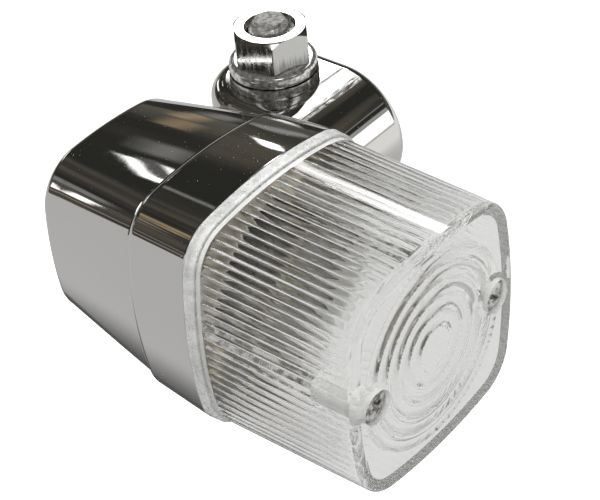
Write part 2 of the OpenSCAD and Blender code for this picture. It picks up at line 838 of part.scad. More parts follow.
module bulb_stem() {
    color("white", 0.4) on_axis() difference() {
        union() {
            disc(neck_r - glass_t - thread_gap, glass_back, glass_back + flare_t);
            disc(stem_r, glass_back, stem_top);
        }
        left_and_right(filament_reach) disc(lead_r + thread_gap, glass_back - 1, stem_top + 1);
    }
}

module bulb_leads() {
    color("silver") on_axis() left_and_right(filament_reach) disc(lead_r, glass_back, globe_at + filament_d);
}

module bulb_filament() {
    span = filament_reach - lead_r;
    color("dimgray") on_axis() translate([-span, 0, globe_at]) rotate([0, 90, 0])
        cylinder(d = filament_d, h = 2 * span);
}

module cable_grommet() {
    color("black") on_axis() translate([-entry_reach, -entry_reach, 0]) difference() {
        union() {
            disc(entry_d / 2, rear_at, floor_at);
            disc(grommet_r, rear_at - grommet_t, rear_at);
            disc(grommet_r, floor_at, floor_at + grommet_t);
        }
        disc(grommet_bore / 2, rear_at - grommet_t - 1, floor_at + grommet_t + 1);
    }
}

housing();
mounting_stud();
lock_washer();
plain_washer();
mounting_nut();
lens();
lens_gasket();
lens_screws();
carrier_plate();
plate_screws();
holder_tube();
holder_rivets();
terminal_disc();
feed_terminal();
contact_spring();
plunger_disc();
contact_plunger();
bulb_cap();
bulb_pins();
bulb_insulator();
bulb_contact();
bulb_glass();
bulb_stem();
bulb_leads();
bulb_filament();
cable_grommet();
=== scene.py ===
import bpy
import bmesh
from math import sin, cos, tan, pi, radians, sqrt, atan2
from mathutils import Matrix, Vector, noise
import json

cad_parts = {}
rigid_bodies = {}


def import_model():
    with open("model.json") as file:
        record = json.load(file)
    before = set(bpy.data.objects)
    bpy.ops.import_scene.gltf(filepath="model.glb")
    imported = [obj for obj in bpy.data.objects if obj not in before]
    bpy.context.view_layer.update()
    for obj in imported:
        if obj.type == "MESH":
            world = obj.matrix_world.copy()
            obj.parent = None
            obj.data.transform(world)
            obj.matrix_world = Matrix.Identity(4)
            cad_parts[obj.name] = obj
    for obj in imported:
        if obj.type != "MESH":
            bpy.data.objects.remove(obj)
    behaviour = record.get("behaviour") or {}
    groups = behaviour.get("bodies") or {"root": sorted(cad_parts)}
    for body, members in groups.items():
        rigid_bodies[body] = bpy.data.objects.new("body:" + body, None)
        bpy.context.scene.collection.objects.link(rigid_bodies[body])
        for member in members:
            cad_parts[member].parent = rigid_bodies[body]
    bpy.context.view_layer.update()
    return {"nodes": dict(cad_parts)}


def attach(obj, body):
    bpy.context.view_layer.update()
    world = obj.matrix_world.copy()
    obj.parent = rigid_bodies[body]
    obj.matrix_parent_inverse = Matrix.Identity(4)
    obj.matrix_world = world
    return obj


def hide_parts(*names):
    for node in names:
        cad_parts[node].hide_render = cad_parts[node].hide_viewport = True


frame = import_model()
mm = 0.001


# The studio: a pale table well below the lamp, a white surround, a dark room that only
# polished metal mirrors, with its bright windows, and soft lamps above and to the sides.
# The camera stands where the photographer stood.
def plain_shader(tree, kind, colour):
    """A shader of one kind; its colour is a plain one or a socket."""
    node = tree.nodes.new(kind)
    if isinstance(colour, tuple):
        node.inputs["Color"].default_value = (*colour, 1)
    else:
        tree.links.new(colour, node.inputs["Color"])
    return node.outputs[0]


def for_ray(tree, kind, then, otherwise):
    """One shader for one kind of ray, and another for all the rest."""
    mix = tree.nodes.new("ShaderNodeMixShader")
    tree.links.new(tree.nodes.new("ShaderNodeLightPath").outputs[kind], mix.inputs[0])
    tree.links.new(otherwise, mix.inputs[1])
    tree.links.new(then, mix.inputs[2])
    return mix.outputs[0]


def sum_up(tree, kind, a, b=None):
    """One sum of two values, each a socket or a number."""
    node = tree.nodes.new("ShaderNodeMath")
    node.operation = kind
    for at, value in enumerate((a, b)):
        if value is None:
            continue
        if isinstance(value, (int, float)):
            node.inputs[at].default_value = value
        else:
            tree.links.new(value, node.inputs[at])
    return node.outputs[0]


def ease(tree, source, low, high, from_value=0.0, to_value=1.0):
    """A soft step from one value to another as the source goes from low to high."""
    node = tree.nodes.new("ShaderNodeMapRange")
    node.interpolation_type = "SMOOTHSTEP"
    node.inputs["From Min"].default_value = low
    node.inputs["From Max"].default_value = high
    node.inputs["To Min"].default_value = from_value
    node.inputs["To Max"].default_value = to_value
    tree.links.new(source, node.inputs["Value"])
    return node.outputs["Result"]


def blend_colour(tree, share, under, over):
    """Two colours mixed by a share; each is a socket or a plain colour."""
    node = tree.nodes.new("ShaderNodeMix")
    node.data_type = "RGBA"
    tree.links.new(share, node.inputs[0])
    for at, value in ((6, under), (7, over)):
        if isinstance(value, tuple):
            node.inputs[at].default_value = (*value, 1)
        else:
            tree.links.new(value, node.inputs[at])
    return node.outputs[2]


def along(tree, direction, axis):
    """How far a direction points along a fixed axis."""
    node = tree.nodes.new("ShaderNodeVectorMath")
    node.operation = "DOT_PRODUCT"
    tree.links.new(direction, node.inputs[0])
    node.inputs[1].default_value = axis
    return node.outputs["Value"]


def cloud(tree, source, scale, detail, stretch=None):
    """Noise over a vector, which can be stretched first."""
    if stretch:
        mapping = tree.nodes.new("ShaderNodeMapping")
        mapping.inputs["Scale"].default_value = stretch
        tree.links.new(source, mapping.inputs[0])
        source = mapping.outputs[0]
    made = tree.nodes.new("ShaderNodeTexNoise")
    made.inputs["Scale"].default_value = scale
    made.inputs["Detail"].default_value = detail
    tree.links.new(source, made.inputs["Vector"])
    return made.outputs["Fac"]


def window(tree, direction, bearing, height, half_w, half_h, turn, edge):
    """The share of a bright rectangle in the room, by its bearing, height and half sizes in degrees."""
    b, h, t = radians(bearing), radians(height), radians(turn)
    aim = Vector((cos(h) * cos(b), cos(h) * sin(b), sin(h)))
    level = Vector((-sin(b), cos(b), 0))
    upward = aim.cross(level)
    ahead = along(tree, direction, aim)
    share = ease(tree, ahead, 0.3, 0.4)
    across = cos(t) * level + sin(t) * upward
    upright = cos(t) * upward - sin(t) * level
    for axis, half in ((across, half_w), (upright, half_h)):
        off = sum_up(tree, "ABSOLUTE", sum_up(tree, "DIVIDE", along(tree, direction, axis), ahead))
        fades_from, fades_to = tan(radians(max(half - edge, 0.01))), tan(radians(half + edge))
        share = sum_up(tree, "MULTIPLY", share, ease(tree, off, fades_from, fades_to, 1.0, 0.0))
    return share


table_size, table_height = 9, -0.26
bpy.ops.object.select_all(action="DESELECT")
bpy.ops.mesh.primitive_plane_add(size=table_size, location=(0, 0, table_height))
table = bpy.context.object
table.name = "table"
paint = bpy.data.materials.new("pale_table")
paint.use_nodes = True
tree = paint.node_tree
tree.nodes.clear()
matt = plain_shader(tree, "ShaderNodeBsdfDiffuse", (0.70, 0.70, 0.70))
bright = plain_shader(tree, "ShaderNodeEmission", (0.62, 0.62, 0.62))
both = tree.nodes.new("ShaderNodeAddShader")
tree.links.new(matt, both.inputs[0])
tree.links.new(bright, both.inputs[1])
look = for_ray(tree, "Is Camera Ray", both.outputs[0], matt)
# For glossy rays the table shows a painted shadow, dark round a point near the object and paler further off,
# and painted light that turns it white towards one side.
where = tree.nodes.new("ShaderNodeTexCoord").outputs["Object"]
away = tree.nodes.new("ShaderNodeVectorMath")
away.operation = "DISTANCE"
away.inputs[1].default_value = (0.05, 0.15, 0)
tree.links.new(where, away.inputs[0])
farther = ease(tree, away.outputs["Value"], 0.12, 0.225)
painted_floor_shadow = blend_colour(tree, farther, (0.11, 0.11, 0.108), (0.60, 0.60, 0.595))
painted_floor_light = ease(tree, along(tree, where, (0.656, -0.755, 0)), 0.25, 0.8)
mirrored = blend_colour(tree, painted_floor_light, painted_floor_shadow, (1.0, 1.0, 0.99))
look = for_ray(tree, "Is Glossy Ray", plain_shader(tree, "ShaderNodeEmission", mirrored), look)
behind_glass = plain_shader(tree, "ShaderNodeEmission", (0.74, 0.74, 0.735))
look = for_ray(tree, "Is Transmission Ray", behind_glass, look)
tree.links.new(look, tree.nodes.new("ShaderNodeOutputMaterial").inputs[0])
table.data.materials.append(paint)

world = bpy.data.worlds.new("studio")
bpy.context.scene.world = world
world.use_nodes = True
tree = world.node_tree
tree.nodes.clear()
direction = tree.nodes.new("ShaderNodeTexCoord").outputs["Generated"]
height = along(tree, direction, (0, 0, 1))
clutter = ease(tree, cloud(tree, direction, 3.2, 3.0), 0.42, 0.66)
room = blend_colour(tree, clutter, (0.030, 0.030, 0.026), (0.105, 0.096, 0.078))
shelves = ease(tree, cloud(tree, direction, 1.6, 2.0, (1.5, 1.5, 16)), 0.50, 0.62)
low_down = sum_up(tree, "MULTIPLY", ease(tree, height, 0.36, 0.05), shelves)
room = blend_colour(tree, low_down, room, (0.25, 0.235, 0.20))
for bearing, up_at, half_w, half_h, turn, edge, glow in (
    (27.5, 42.4, 15.5, 6.3, -30, 0.5, (1.7, 1.7, 1.68)),
    (37.6, 32.5, 8.2, 1.75, -22, 0.45, (9.0, 9.0, 9.0)),
    (60.7, 29.2, 2.2, 0.95, 54.6, 0.3, (2.4, 2.4, 2.4)),
    (60.0, 28.55, 2.1, 0.5, 54.6, 0.25, (0.12, 0.12, 0.115)),
    (55.6, 24.6, 2.0, 0.8, 44, 0.8, (0.22, 0.22, 0.21)),
    (49.6, 16.6, 1.8, 0.5, 50, 0.5, (0.30, 0.23, 0.15)),
    (47.6, 13.4, 1.5, 0.4, 50, 0.4, (0.38, 0.30, 0.21)),
    (45.5, 11.2, 1.2, 0.5, 50, 0.5, (0.26, 0.25, 0.23)),
    (43.7, 22.3, 0.38, 0.9, -12, 0.3, (6.0, 6.0, 6.0)),
    (116.8, 10.8, 0.75, 2.9, 20, 0.4, (1.8, 1.75, 1.75)),
    (40.2, 12.2, 0.8, 0.6, 0, 0.3, (1.2, 1.2, 1.2)),
    (40.9, 16.3, 1.6, 0.55, 35, 0.4, (0.34, 0.34, 0.33)),
    (62.0, 39.4, 0.25, 1.6, 20, 0.35, (0.26, 0.26, 0.25)),
    (75.5, 15.0, 9.0, 3.2, 38, 0.6, (1.6, 1.6, 1.6)),
    (119.0, 34.4, 3.6, 2.2, -30, 1.2, (0.50, 0.39, 0.24)),
    (122.6, 28.6, 1.6, 0.5, -30, 0.4, (0.34, 0.30, 0.23)),
    (124.6, 24.6, 2.4, 1.2, -30, 1.0, (0.17, 0.15, 0.12)),
    (111.5, 18.5, 1.5, 2.4, 35, 0.8, (0.26, 0.26, 0.25)),
    (-49.0, 5.0, 6.0, 12.0, 0, 0.6, (1.6, 1.6, 1.58)),
    (-48.0, 19.5, 3.0, 2.0, 0, 1.0, (0.42, 0.42, 0.41)),
    (-44.0, 27.0, 4.0, 0.7, 0, 0.6, (0.24, 0.24, 0.23)),
    (-125.0, 52.0, 9.0, 14.0, 0, 1.0, (1.8, 1.8, 1.78)),
    (172.0, 45.0, 7.0, 10.0, 0, 1.0, (1.1, 1.1, 1.09)),
    (-84.0, 36.0, 8.0, 7.0, 0, 1.0, (1.0, 1.0, 0.99)),
):
    pane = window(tree, direction, bearing, up_at, half_w, half_h, turn, edge)
    room = blend_colour(tree, pane, room, glow)
for bearing, up_at, half_w, half_h, turn, edge, fine, low, high, glow in (
    (39.2, 34.6, 3.0, 1.2, -38, 0.5, (90, 90, 90), 0.47, 0.50, 0.05),
    (119.5, 33.0, 5.0, 4.0, -30, 1.0, (30, 30, 30), 0.35, 0.75, 0.05),
    (11.0, 50.0, 1.8, 3.0, 0, 0.8, (700, 14, 14), 0.52, 0.56, 0.05),
    (2.5, 50.8, 2.2, 3.0, 0, 0.8, (700, 14, 14), 0.50, 0.54, 1.7),
):
    speckle = ease(tree, cloud(tree, direction, 1.0, 3.0, fine), low, high)
    pane = window(tree, direction, bearing, up_at, half_w, half_h, turn, edge)
    room = blend_colour(tree, sum_up(tree, "MULTIPLY", pane, speckle), room, (glow, glow, glow))
room = blend_colour(tree, ease(tree, height, -0.012, 0.012), (0.60, 0.60, 0.595), room)
through_glass = blend_colour(tree, ease(tree, height, -0.1, 0.55), (0.78, 0.78, 0.775), (0.70, 0.70, 0.69))
surround = plain_shader(tree, "ShaderNodeBackground", (0.55, 0.55, 0.55))
for kind, colour in (
    ("Is Glossy Ray", room), ("Is Transmission Ray", through_glass), ("Is Camera Ray", (1.0, 1.0, 1.0)),
):
    surround = for_ray(tree, kind, plain_shader(tree, "ShaderNodeBackground", colour), surround)
tree.links.new(surround, tree.nodes.new("ShaderNodeOutputWorld").inputs[0])


def softbox(name, toward, distance, size, watts, target=(-0.02, -0.02, -0.01)):
    """A rectangular lamp that faces the object from a direction; the mirrored room has its own windows."""
    aim = Vector(toward).normalized()
    place = Vector(target) + aim * distance
    light = bpy.data.lights.new(name, "AREA")
    light.shape = "RECTANGLE"
    light.size, light.size_y = size
    light.energy = watts
    lamp = bpy.data.objects.new(name, light)
    lamp.location = place
    lamp.rotation_euler = aim.to_track_quat("Z", "Y").to_euler()
    lamp.visible_glossy = False
    lamp.visible_transmission = False
    bpy.context.scene.collection.objects.link(lamp)


softbox("lamp_right", (0.66, 0.35, 0.66), 1.0, (0.5, 0.3), 5)
softbox("lamp_above", (-0.10, 0.10, 1.0), 1.1, (0.45, 0.35), 6)
softbox("lamp_left", (-0.75, -0.30, 0.75), 1.2, (0.30, 0.12), 3)

az, el, roll = radians(-47.10), radians(37.862), radians(-5.526)
right = Vector((cos(az), sin(az), 0))
back = Vector((sin(az) * cos(el), -cos(az) * cos(el), sin(el)))
up = back.cross(right)
side = cos(roll) * right + sin(roll) * up
top = -sin(roll) * right + cos(roll) * up
focal_px, photo_w, sensor_w = 1680.76, 600, 36
camera_data = bpy.data.cameras.new("camera")
camera_data.sensor_width = sensor_w
camera_data.lens = focal_px * sensor_w / photo_w
camera_data.clip_start = 0.01
camera = bpy.data.objects.new("camera", camera_data)
bpy.context.scene.collection.objects.link(camera)
turn = Matrix((side, top, back)).transposed().to_4x4()
camera.matrix_world = Matrix.Translation((-0.191384, -0.179950, 0.163537)) @ turn
bpy.context.scene.camera = camera
bpy.context.scene.view_settings.view_transform = "Standard"
bpy.context.scene.cycles.max_bounces = 28
bpy.context.scene.cycles.glossy_bounces = 20
bpy.context.scene.cycles.transmission_bounces = 24


# Body casting: one zinc die casting with the collar round the lens, the tapered rear
# and the side foot, polished and chrome plated. The lens drops into a seat in the
# collar, and the foot's flat top takes the stud.
axis_x, axis_z = -32.3, -13.2
body_half, body_corner, bow = 22.25, 7.9, 76.0
per_side, per_corner = 26, 30


def corner_centre(half, corner):
    """Where a round corner has its centre, and the angle at which the bowed side runs into it."""
    k = bow - half
    c = (-k + sqrt(2 * (bow - corner) ** 2 - k * k)) / 2
    return c, atan2(c, c + k)


def section(half, corner, ahead):
    """A square with bowed sides and round corners, as points at a distance ahead of the stud."""
    c, a = corner_centre(half, corner)
    quarter = []
    for i in range(per_side):
        t = -a + 2 * a * i / per_side
        quarter.append((half - bow + bow * cos(t), bow * sin(t)))
    for i in range(per_corner):
        t = a + (pi / 2 - 2 * a) * i / per_corner
        quarter.append((c + corner * cos(t), c + corner * sin(t)))
    points = []
    for q in range(4):
        for x, z in quarter:
            x, z = ((x, z), (-z, x), (-x, -z), (z, -x))[q]
            points.append(Vector(((axis_x + x) * mm, -ahead * mm, (axis_z + z) * mm)))
    return points


def loft(name, rings, first_face=True, last_face=True):
    """A skin pulled through rings of points: a circle is added, shaped and extruded ring by ring."""
    bpy.ops.object.select_all(action="DESELECT")
    bpy.ops.mesh.primitive_circle_add(vertices=len(rings[0]), radius=1, fill_type="NOTHING")
    piece = bpy.context.object
    piece.name = name
    bpy.ops.object.mode_set(mode="EDIT")
    bpy.ops.mesh.select_mode(type="VERT")
    shape = bmesh.from_edit_mesh(piece.data)
    place = shape.verts.layers.int.new("place")
    for i, v in enumerate(shape.verts):
        v[place] = i
    for k, ring in enumerate(rings):
        if k:
            bpy.ops.mesh.extrude_edges_move()
        shape = bmesh.from_edit_mesh(piece.data)
        place = shape.verts.layers.int["place"]
        chosen = [v for v in shape.verts if v.select]
        for v in chosen:
            v.co = ring[v[place]]
        if k == 0 and first_face:
            bpy.ops.mesh.edge_face_add()
            bpy.ops.mesh.select_all(action="DESELECT")
            shape = bmesh.from_edit_mesh(piece.data)
            for e in shape.edges:
                e.select = True
            shape.select_flush(True)
            for f in shape.faces:
                f.select = False
            for e in shape.edges:
                e.select = True
        bmesh.update_edit_mesh(piece.data)
    if last_face:
        bpy.ops.mesh.edge_face_add()
    bpy.ops.mesh.select_all(action="SELECT")
    bpy.ops.mesh.normals_make_consistent(inside=False)
    bpy.ops.object.mode_set(mode="OBJECT")
    return piece


def arc_stations(at, half, corner, r, way, steps=8):
    """Stations round an outer edge: way 1 rounds forwards from the back face, way -1 rounds a front edge."""
    found = []
    for i in range(steps + 1):
        t = pi / 2 * i / steps
        inset = r * (1 - sin(t)) if way > 0 else r * (1 - cos(t))
        shift = r * (1 - cos(t)) if way > 0 else -r * (1 - sin(t))
        found.append((at + shift, half - inset, corner - inset))
    return found


def take(*pieces):
    """Selects these pieces and nothing else, with the first one active."""
    bpy.ops.object.select_all(action="DESELECT")
    for piece in pieces:
        piece.select_set(True)
    bpy.context.view_layer.objects.active = pieces[0]


def finish_mesh(piece, angle=30, weighted=False):
    """Smooth shading with crisp edges above an angle, and flat faces kept flat."""
    take(piece)
    bpy.ops.object.shade_smooth_by_angle(angle=radians(angle))
    if weighted:
        bpy.ops.object.modifier_add(type="WEIGHTED_NORMAL")
        piece.modifiers[-1].keep_sharp = True
        bpy.ops.object.modifier_apply(modifier=piece.modifiers[-1].name)


def join(pieces, name):
    """Joins pieces into the first one, under a name."""
    take(*pieces)
    bpy.ops.object.join()
    pieces[0].name = name
    return pieces[0]


def cut(piece, tool, way="DIFFERENCE"):
    """Cuts or joins one closed piece with another and drops the tool."""
    take(piece)
    bpy.ops.object.modifier_add(type="BOOLEAN")
    made = piece.modifiers[-1]
    made.operation = way
    made.solver = "EXACT"
    made.object = tool
    bpy.ops.object.modifier_apply(modifier=made.name)
    bpy.data.objects.remove(tool)
    return piece


def close_up():
    """Merges the doubled points of the piece being edited, turns its faces outwards and ends editing."""
    bpy.ops.mesh.select_all(action="SELECT")
    bpy.ops.mesh.remove_doubles(threshold=2e-6)
    bpy.ops.mesh.normals_make_consistent(inside=False)
    bpy.ops.object.mode_set(mode="OBJECT")


def rod_ahead(x, ahead, z, r, length, sides=64):
    """A round rod that points forwards, with its middle at a distance ahead."""
    bpy.ops.mesh.primitive_cylinder_add(
        vertices=sides, radius=r * mm, depth=length * mm,
        location=(x * mm, -ahead * mm, z * mm), rotation=(pi / 2, 0, 0))
    return bpy.context.object


rear_at, step_at, joint_at = -11.7, 12.7, 26.1
rear_half, rear_corner, rear_round = 17.575, 9.8, 2.0
rim_half, seat_at, seat_half, inside_at = 20.95, 23.1, 19.39, -9.2
stations = arc_stations(rear_at, rear_half, rear_corner, rear_round, 1)
for i in range(1, 9):
    t = i / 8
    ahead = rear_at + rear_round + (step_at - 0.3 - rear_at - rear_round) * t
    stations.append((ahead, rear_half + 3.04 * t, rear_corner - 1.9 * t))
stations += [(step_at - 0.1, 20.5, 7.8), (step_at, 20.4, 7.7)]
for i in range(11):
    t = pi / 2 * i / 10
    stations.append((step_at + 0.06 + 1.44 * (1 - cos(t)), 20.42 + 0.96 * sin(t), body_corner))
for i in range(1, 5):
    t = i / 4
    stations.append((step_at + 1.5 + (joint_at - 1.7 - step_at) * t, 21.38 + 0.85 * t, body_corner))
stations += [(joint_at - 0.06, body_half - 0.02, body_corner)]
stations += [(joint_at, body_half - 0.1, body_corner - 0.08)]
stations += [(joint_at, rim_half, 6.6), (seat_at, rim_half, 6.6), (seat_at, seat_half, 5.4)]
stations += [(step_at, 18.15, 5.4), (inside_at, 15.0, 7.2)]
shell = loft("housing_shell", [section(h, c, a) for a, h, c in stations])

nose_y, foot_mid, foot_r, foot_half, edge_r = -8.0, axis_z, 13.2, 12.0, 3.0


def foot_outline(y, steps=12):
    """The foot's cross-section: a rectangle with rounded corners, and a point at the middle of each side."""
    points = []
    for q, (sx, sz) in enumerate(((1, 1), (-1, 1), (-1, -1), (1, -1))):
        mid = ((foot_half, 0), (0, foot_r), (-foot_half, 0), (0, -foot_r))[q]
        points.append(mid)
        corner_x, corner_z = sx * (foot_half - edge_r), sz * (foot_r - edge_r)
        for i in range(steps + 1):
            t = pi / 2 * (q + i / steps)
            points.append((corner_x + edge_r * cos(t), corner_z + edge_r * sin(t)))
    return [Vector((x * mm, y * mm, (foot_mid + z) * mm)) for x, z in points]


foot = loft("housing_foot", [foot_outline(nose_y), foot_outline(0)], False, False)
for y, keep, axis, centre in (
    (nose_y, lambda v: v.co.z > (foot_mid - 0.001) * mm, (1, 0, 0), (0, nose_y * mm, foot_mid * mm)),
    (0.0, lambda v: v.co.x > -0.001 * mm, (0, 0, 1), (0, 0, foot_mid * mm)),
):
    bpy.ops.object.mode_set(mode="EDIT")
    bpy.ops.mesh.select_all(action="DESELECT")
    shape = bmesh.from_edit_mesh(foot.data)
    for e in shape.edges:
        e.select = all(abs(v.co.y - y * mm) < 1e-7 and keep(v) for v in e.verts)
    bmesh.update_edit_mesh(foot.data)
    bpy.ops.mesh.spin(steps=56, angle=-pi, center=centre, axis=axis)
    bpy.ops.object.mode_set(mode="OBJECT")
bpy.ops.object.mode_set(mode="EDIT")
close_up()

neck_r, neck_end, rear_wall, widening, collar_wall = 10.8, -9.5, 17.3, 3.35, 21.3
outline = []
for i in range(41):
    t = pi * (0.5 + i / 40)
    outline.append((nose_y + neck_r * cos(t), neck_r * sin(t)))
outline += [(-1.0, -neck_r), (-1.0, neck_r)]
rings = [[], []]
for y, z in outline:
    wall = collar_wall
    if -y < step_at:
        wall = rear_wall + widening * (-y - rear_at) / (step_at - rear_at)
    for ring, x in zip(rings, (axis_x + wall - 1.0, neck_end)):
        ring.append(Vector((x * mm, y * mm, (foot_mid + z) * mm)))
neck = loft("housing_neck", rings)
entry_x, entry_z = axis_x - 9.0, axis_z - 9.0
shell = cut(shell, rod_ahead(entry_x, -10.5, entry_z, 3.3, 8, 48))
for part in (shell, foot, neck):
    finish_mesh(part, 28, True)
housing = join([shell, foot, neck], "body_casting")
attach(housing, "root")
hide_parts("housing")


def new_finish(name, color, metallic=0.0, roughness=0.5, ior=1.5, transmission=0.0):
    """A finish with its plain values set on the shader's own sockets."""
    made = bpy.data.materials.new(name)
    made.use_nodes = True
    shader = made.node_tree.nodes["Principled BSDF"]
    shader.inputs["Base Color"].default_value = (*color, 1)
    shader.inputs["Metallic"].default_value = metallic
    shader.inputs["Roughness"].default_value = roughness
    shader.inputs["IOR"].default_value = ior
    shader.inputs["Transmission Weight"].default_value = transmission
    return made, made.node_tree, shader


def grain(tree, scale, detail=3.0, stretch=None):
    """Noise in the piece's own space, in metres."""
    return cloud(tree, tree.nodes.new("ShaderNodeTexCoord").outputs["Object"], scale, detail, stretch)


def spread(tree, source, low, high, start=0.3, end=0.7):
    """Turns noise into a value between low and high."""
    ramp = tree.nodes.new("ShaderNodeMapRange")
    ramp.inputs["From Min"].default_value = start
    ramp.inputs["From Max"].default_value = end
    ramp.inputs["To Min"].default_value = low
    ramp.inputs["To Max"].default_value = high
    tree.links.new(source, ramp.inputs["Value"])
    return ramp.outputs["Result"]


def relief(tree, shader, source, depth_mm, strength=1.0, after=None):
    """Raises the surface by noise, with the depth in millimetres."""
    bump = tree.nodes.new("ShaderNodeBump")
    bump.inputs["Strength"].default_value = strength
    bump.inputs["Distance"].default_value = depth_mm * mm
    tree.links.new(source, bump.inputs["Height"])
    if after:
        tree.links.new(after, bump.inputs["Normal"])
    tree.links.new(bump.outputs[0], shader.inputs["Normal"])
    return bump.outputs[0]


def mottle(tree, shader, source, low, high, dark, pale):
    """Colours a finish by noise: dark where it is below low, pale above high."""
    share = spread(tree, source, 0.0, 1.0, low, high)
    tree.links.new(blend_colour(tree, share, dark, pale), shader.inputs["Base Color"])


def vary_gloss(tree, shader, source, low, high):
    """Lets the roughness of a finish wander between two values by noise."""
    tree.links.new(spread(tree, source, low, high), shader.inputs["Roughness"])


def dress(piece, made):
    """Gives a piece its first finish."""
    piece.data.materials.clear()
    piece.data.materials.append(made)


def facing_out(face):
    """How far a face looks away from the lamp's axis: 1 is straight out, -1 straight in."""
    away = Vector((face.center.x - axis_x * mm, 0, face.center.z - axis_z * mm))
    return away.normalized().dot(face.normal)


plate_grey = (0.66, 0.652, 0.64)
chrome, tree, shader = new_finish("chrome_plate", plate_grey, 1.0, 0.03)
dust = spread(tree, grain(tree, 2300, 1.0), 0.0, 1.0, 0.76, 0.785)
tree.links.new(blend_colour(tree, dust, plate_grey, (0.95, 0.94, 0.93)), shader.inputs["Base Color"])
polish = spread(tree, grain(tree, 900, 4), 0.015, 0.04)
dulled = sum_up(tree, "MAXIMUM", polish, sum_up(tree, "MULTIPLY", dust, 0.6))
tree.links.new(dulled, shader.inputs["Roughness"])
waves = relief(tree, shader, grain(tree, 130, 1.0), 0.02, 0.5)
relief(tree, shader, grain(tree, 1500, 3.0), 0.002, 0.3, waves)
dress(housing, chrome)
raw_zinc, tree, shader = new_finish("raw_casting", (0.09, 0.072, 0.058), 0.5, 0.5)
mottle(tree, shader, grain(tree, 240, 4), 0.35, 0.65, (0.17, 0.148, 0.125), (0.46, 0.42, 0.375))
relief(tree, shader, grain(tree, 1400, 4.0), 0.03, 0.6)
housing.data.materials.append(raw_zinc)
for face in housing.data.polygons:
    ahead = -face.center.y / mm
    aside = max(abs(face.center.x / mm - axis_x), abs(face.center.z / mm - axis_z))
    if aside < 21.2 and inside_at - 0.1 < ahead < 26 and (facing_out(face) < -0.3 or face.normal.y < -0.8):
        face.material_index = 1


# Mounting stud: one steel stud, cast fast in the foot's top and threaded above it. Its
# end is chamfered and left rough, as it was sheared.
stud_r, thread_pitch, tooth_depth, stud_sides = 4.0, 1.25, 0.6, 72
chamfer_from, tip_at = 10.3, 12.0


def stud_point(r, i, level):
    """One point of a ring round the stud's axis, at a radius and a height."""
    angle = 2 * pi * i / stud_sides
    return Vector((r * cos(angle) * mm, r * sin(angle) * mm, level * mm))


rings = [[stud_point(3.9, i, level) for i in range(stud_sides)] for level in (-9.0, -0.5)]
level = 0.0
while level < tip_at + 0.01:
    ring = []
    for i in range(stud_sides):
        share = (level / thread_pitch - i / stud_sides) % 1
        tooth = min(1, abs(2 * share - 1) * 1.15)
        r = stud_r - 0.02 - tooth_depth * (1 - tooth)
        if level > chamfer_from:
            chamfer = 3.75 - 0.85 * (level - chamfer_from) / (tip_at - chamfer_from)
            r = min(r, chamfer - 0.25 * (1 - tooth))
        ring.append(stud_point(r, i, level))
    rings.append(ring)
    level += thread_pitch / 10
for r, level in ((2.72, 12.14), (2.6, 12.16), (1.7, 12.17), (0.8, 12.15)):
    rings.append([stud_point(r, i, level) for i in range(stud_sides)])
stud = loft("threaded_stud", rings)
finish_mesh(stud, 40)
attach(stud, "root")
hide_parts("mounting_stud")
stud_steel, tree, shader = new_finish("stud_steel", (0.66, 0.65, 0.63), 0.8, 0.3)
vary_gloss(tree, shader, grain(tree, 1700, 5), 0.14, 0.45)
mottle(tree, shader, grain(tree, 1100, 4), 0.35, 0.6, (0.36, 0.355, 0.345), (0.76, 0.755, 0.74))
rough_end = relief(tree, shader, grain(tree, 900, 3.0), 0.22, 0.8)
relief(tree, shader, grain(tree, 3200, 2.0), 0.03, 0.7, rough_end)
dress(stud, stud_steel)
sheared_end, tree, shader = new_finish("sheared_end", (0.40, 0.395, 0.385), 0.85, 0.45)
mottle(tree, shader, grain(tree, 1300, 4), 0.38, 0.6, (0.26, 0.255, 0.25), (0.60, 0.595, 0.58))
vary_gloss(tree, shader, grain(tree, 1900, 3), 0.3, 0.6)
relief(tree, shader, grain(tree, 1100, 4.0), 0.12, 0.9)
stud.data.materials.append(sheared_end)
for face in stud.data.polygons:
    if face.center.z > 12.1 * mm:
        face.material_index = 1


# Cable grommet: a moulded black rubber ring, snapped into the hole in the rear wall so
# that its groove grips the metal. The supply wire runs through it.
def turned_part(name, outline, steps=64):
    """A part turned on a lathe: an outline of radius and height, swept once round."""
    bpy.ops.object.select_all(action="DESELECT")
    bpy.ops.mesh.primitive_circle_add(vertices=max(len(outline), 3), radius=1)
    piece = bpy.context.object
    piece.name = name
    bpy.ops.object.mode_set(mode="EDIT")
    shape = bmesh.from_edit_mesh(piece.data)
    shape.verts.ensure_lookup_table()
    for v, (r, h) in zip(shape.verts, outline):
        v.co = (r * mm, 0, h * mm)
    if outline[0][0] < 1e-6 or outline[-1][0] < 1e-6:
        ends = {shape.verts[0], shape.verts[len(outline) - 1]}
        for e in list(shape.edges):
            if set(e.verts) == ends:
                shape.edges.remove(e)
    bmesh.update_edit_mesh(piece.data)
    bpy.ops.mesh.select_all(action="SELECT")
    bpy.ops.mesh.spin(steps=steps, angle=2 * pi, center=(0, 0, 0), axis=(0, 0, 1))
    close_up()
    return piece


def rounded(corners, r=0.15, steps=3):
    """An outline with each corner rounded off."""
    found = []
    count = len(corners)
    for i in range(count):
        before, here, after = (Vector(corners[(i + k) % count]) for k in (-1, 0, 1))
        if here.x < 1e-6:
            found.append(tuple(here))
            continue
        back_to, on_to = before - here, after - here
        reach = min(r, back_to.length * 0.4, on_to.length * 0.4)
        a, b = here + back_to.normalized() * reach, here + on_to.normalized() * reach
        for k in range(steps + 1):
            t = k / steps
            found.append(tuple((1 - t) ** 2 * a + 2 * t * (1 - t) * here + t * t * b))
    return found


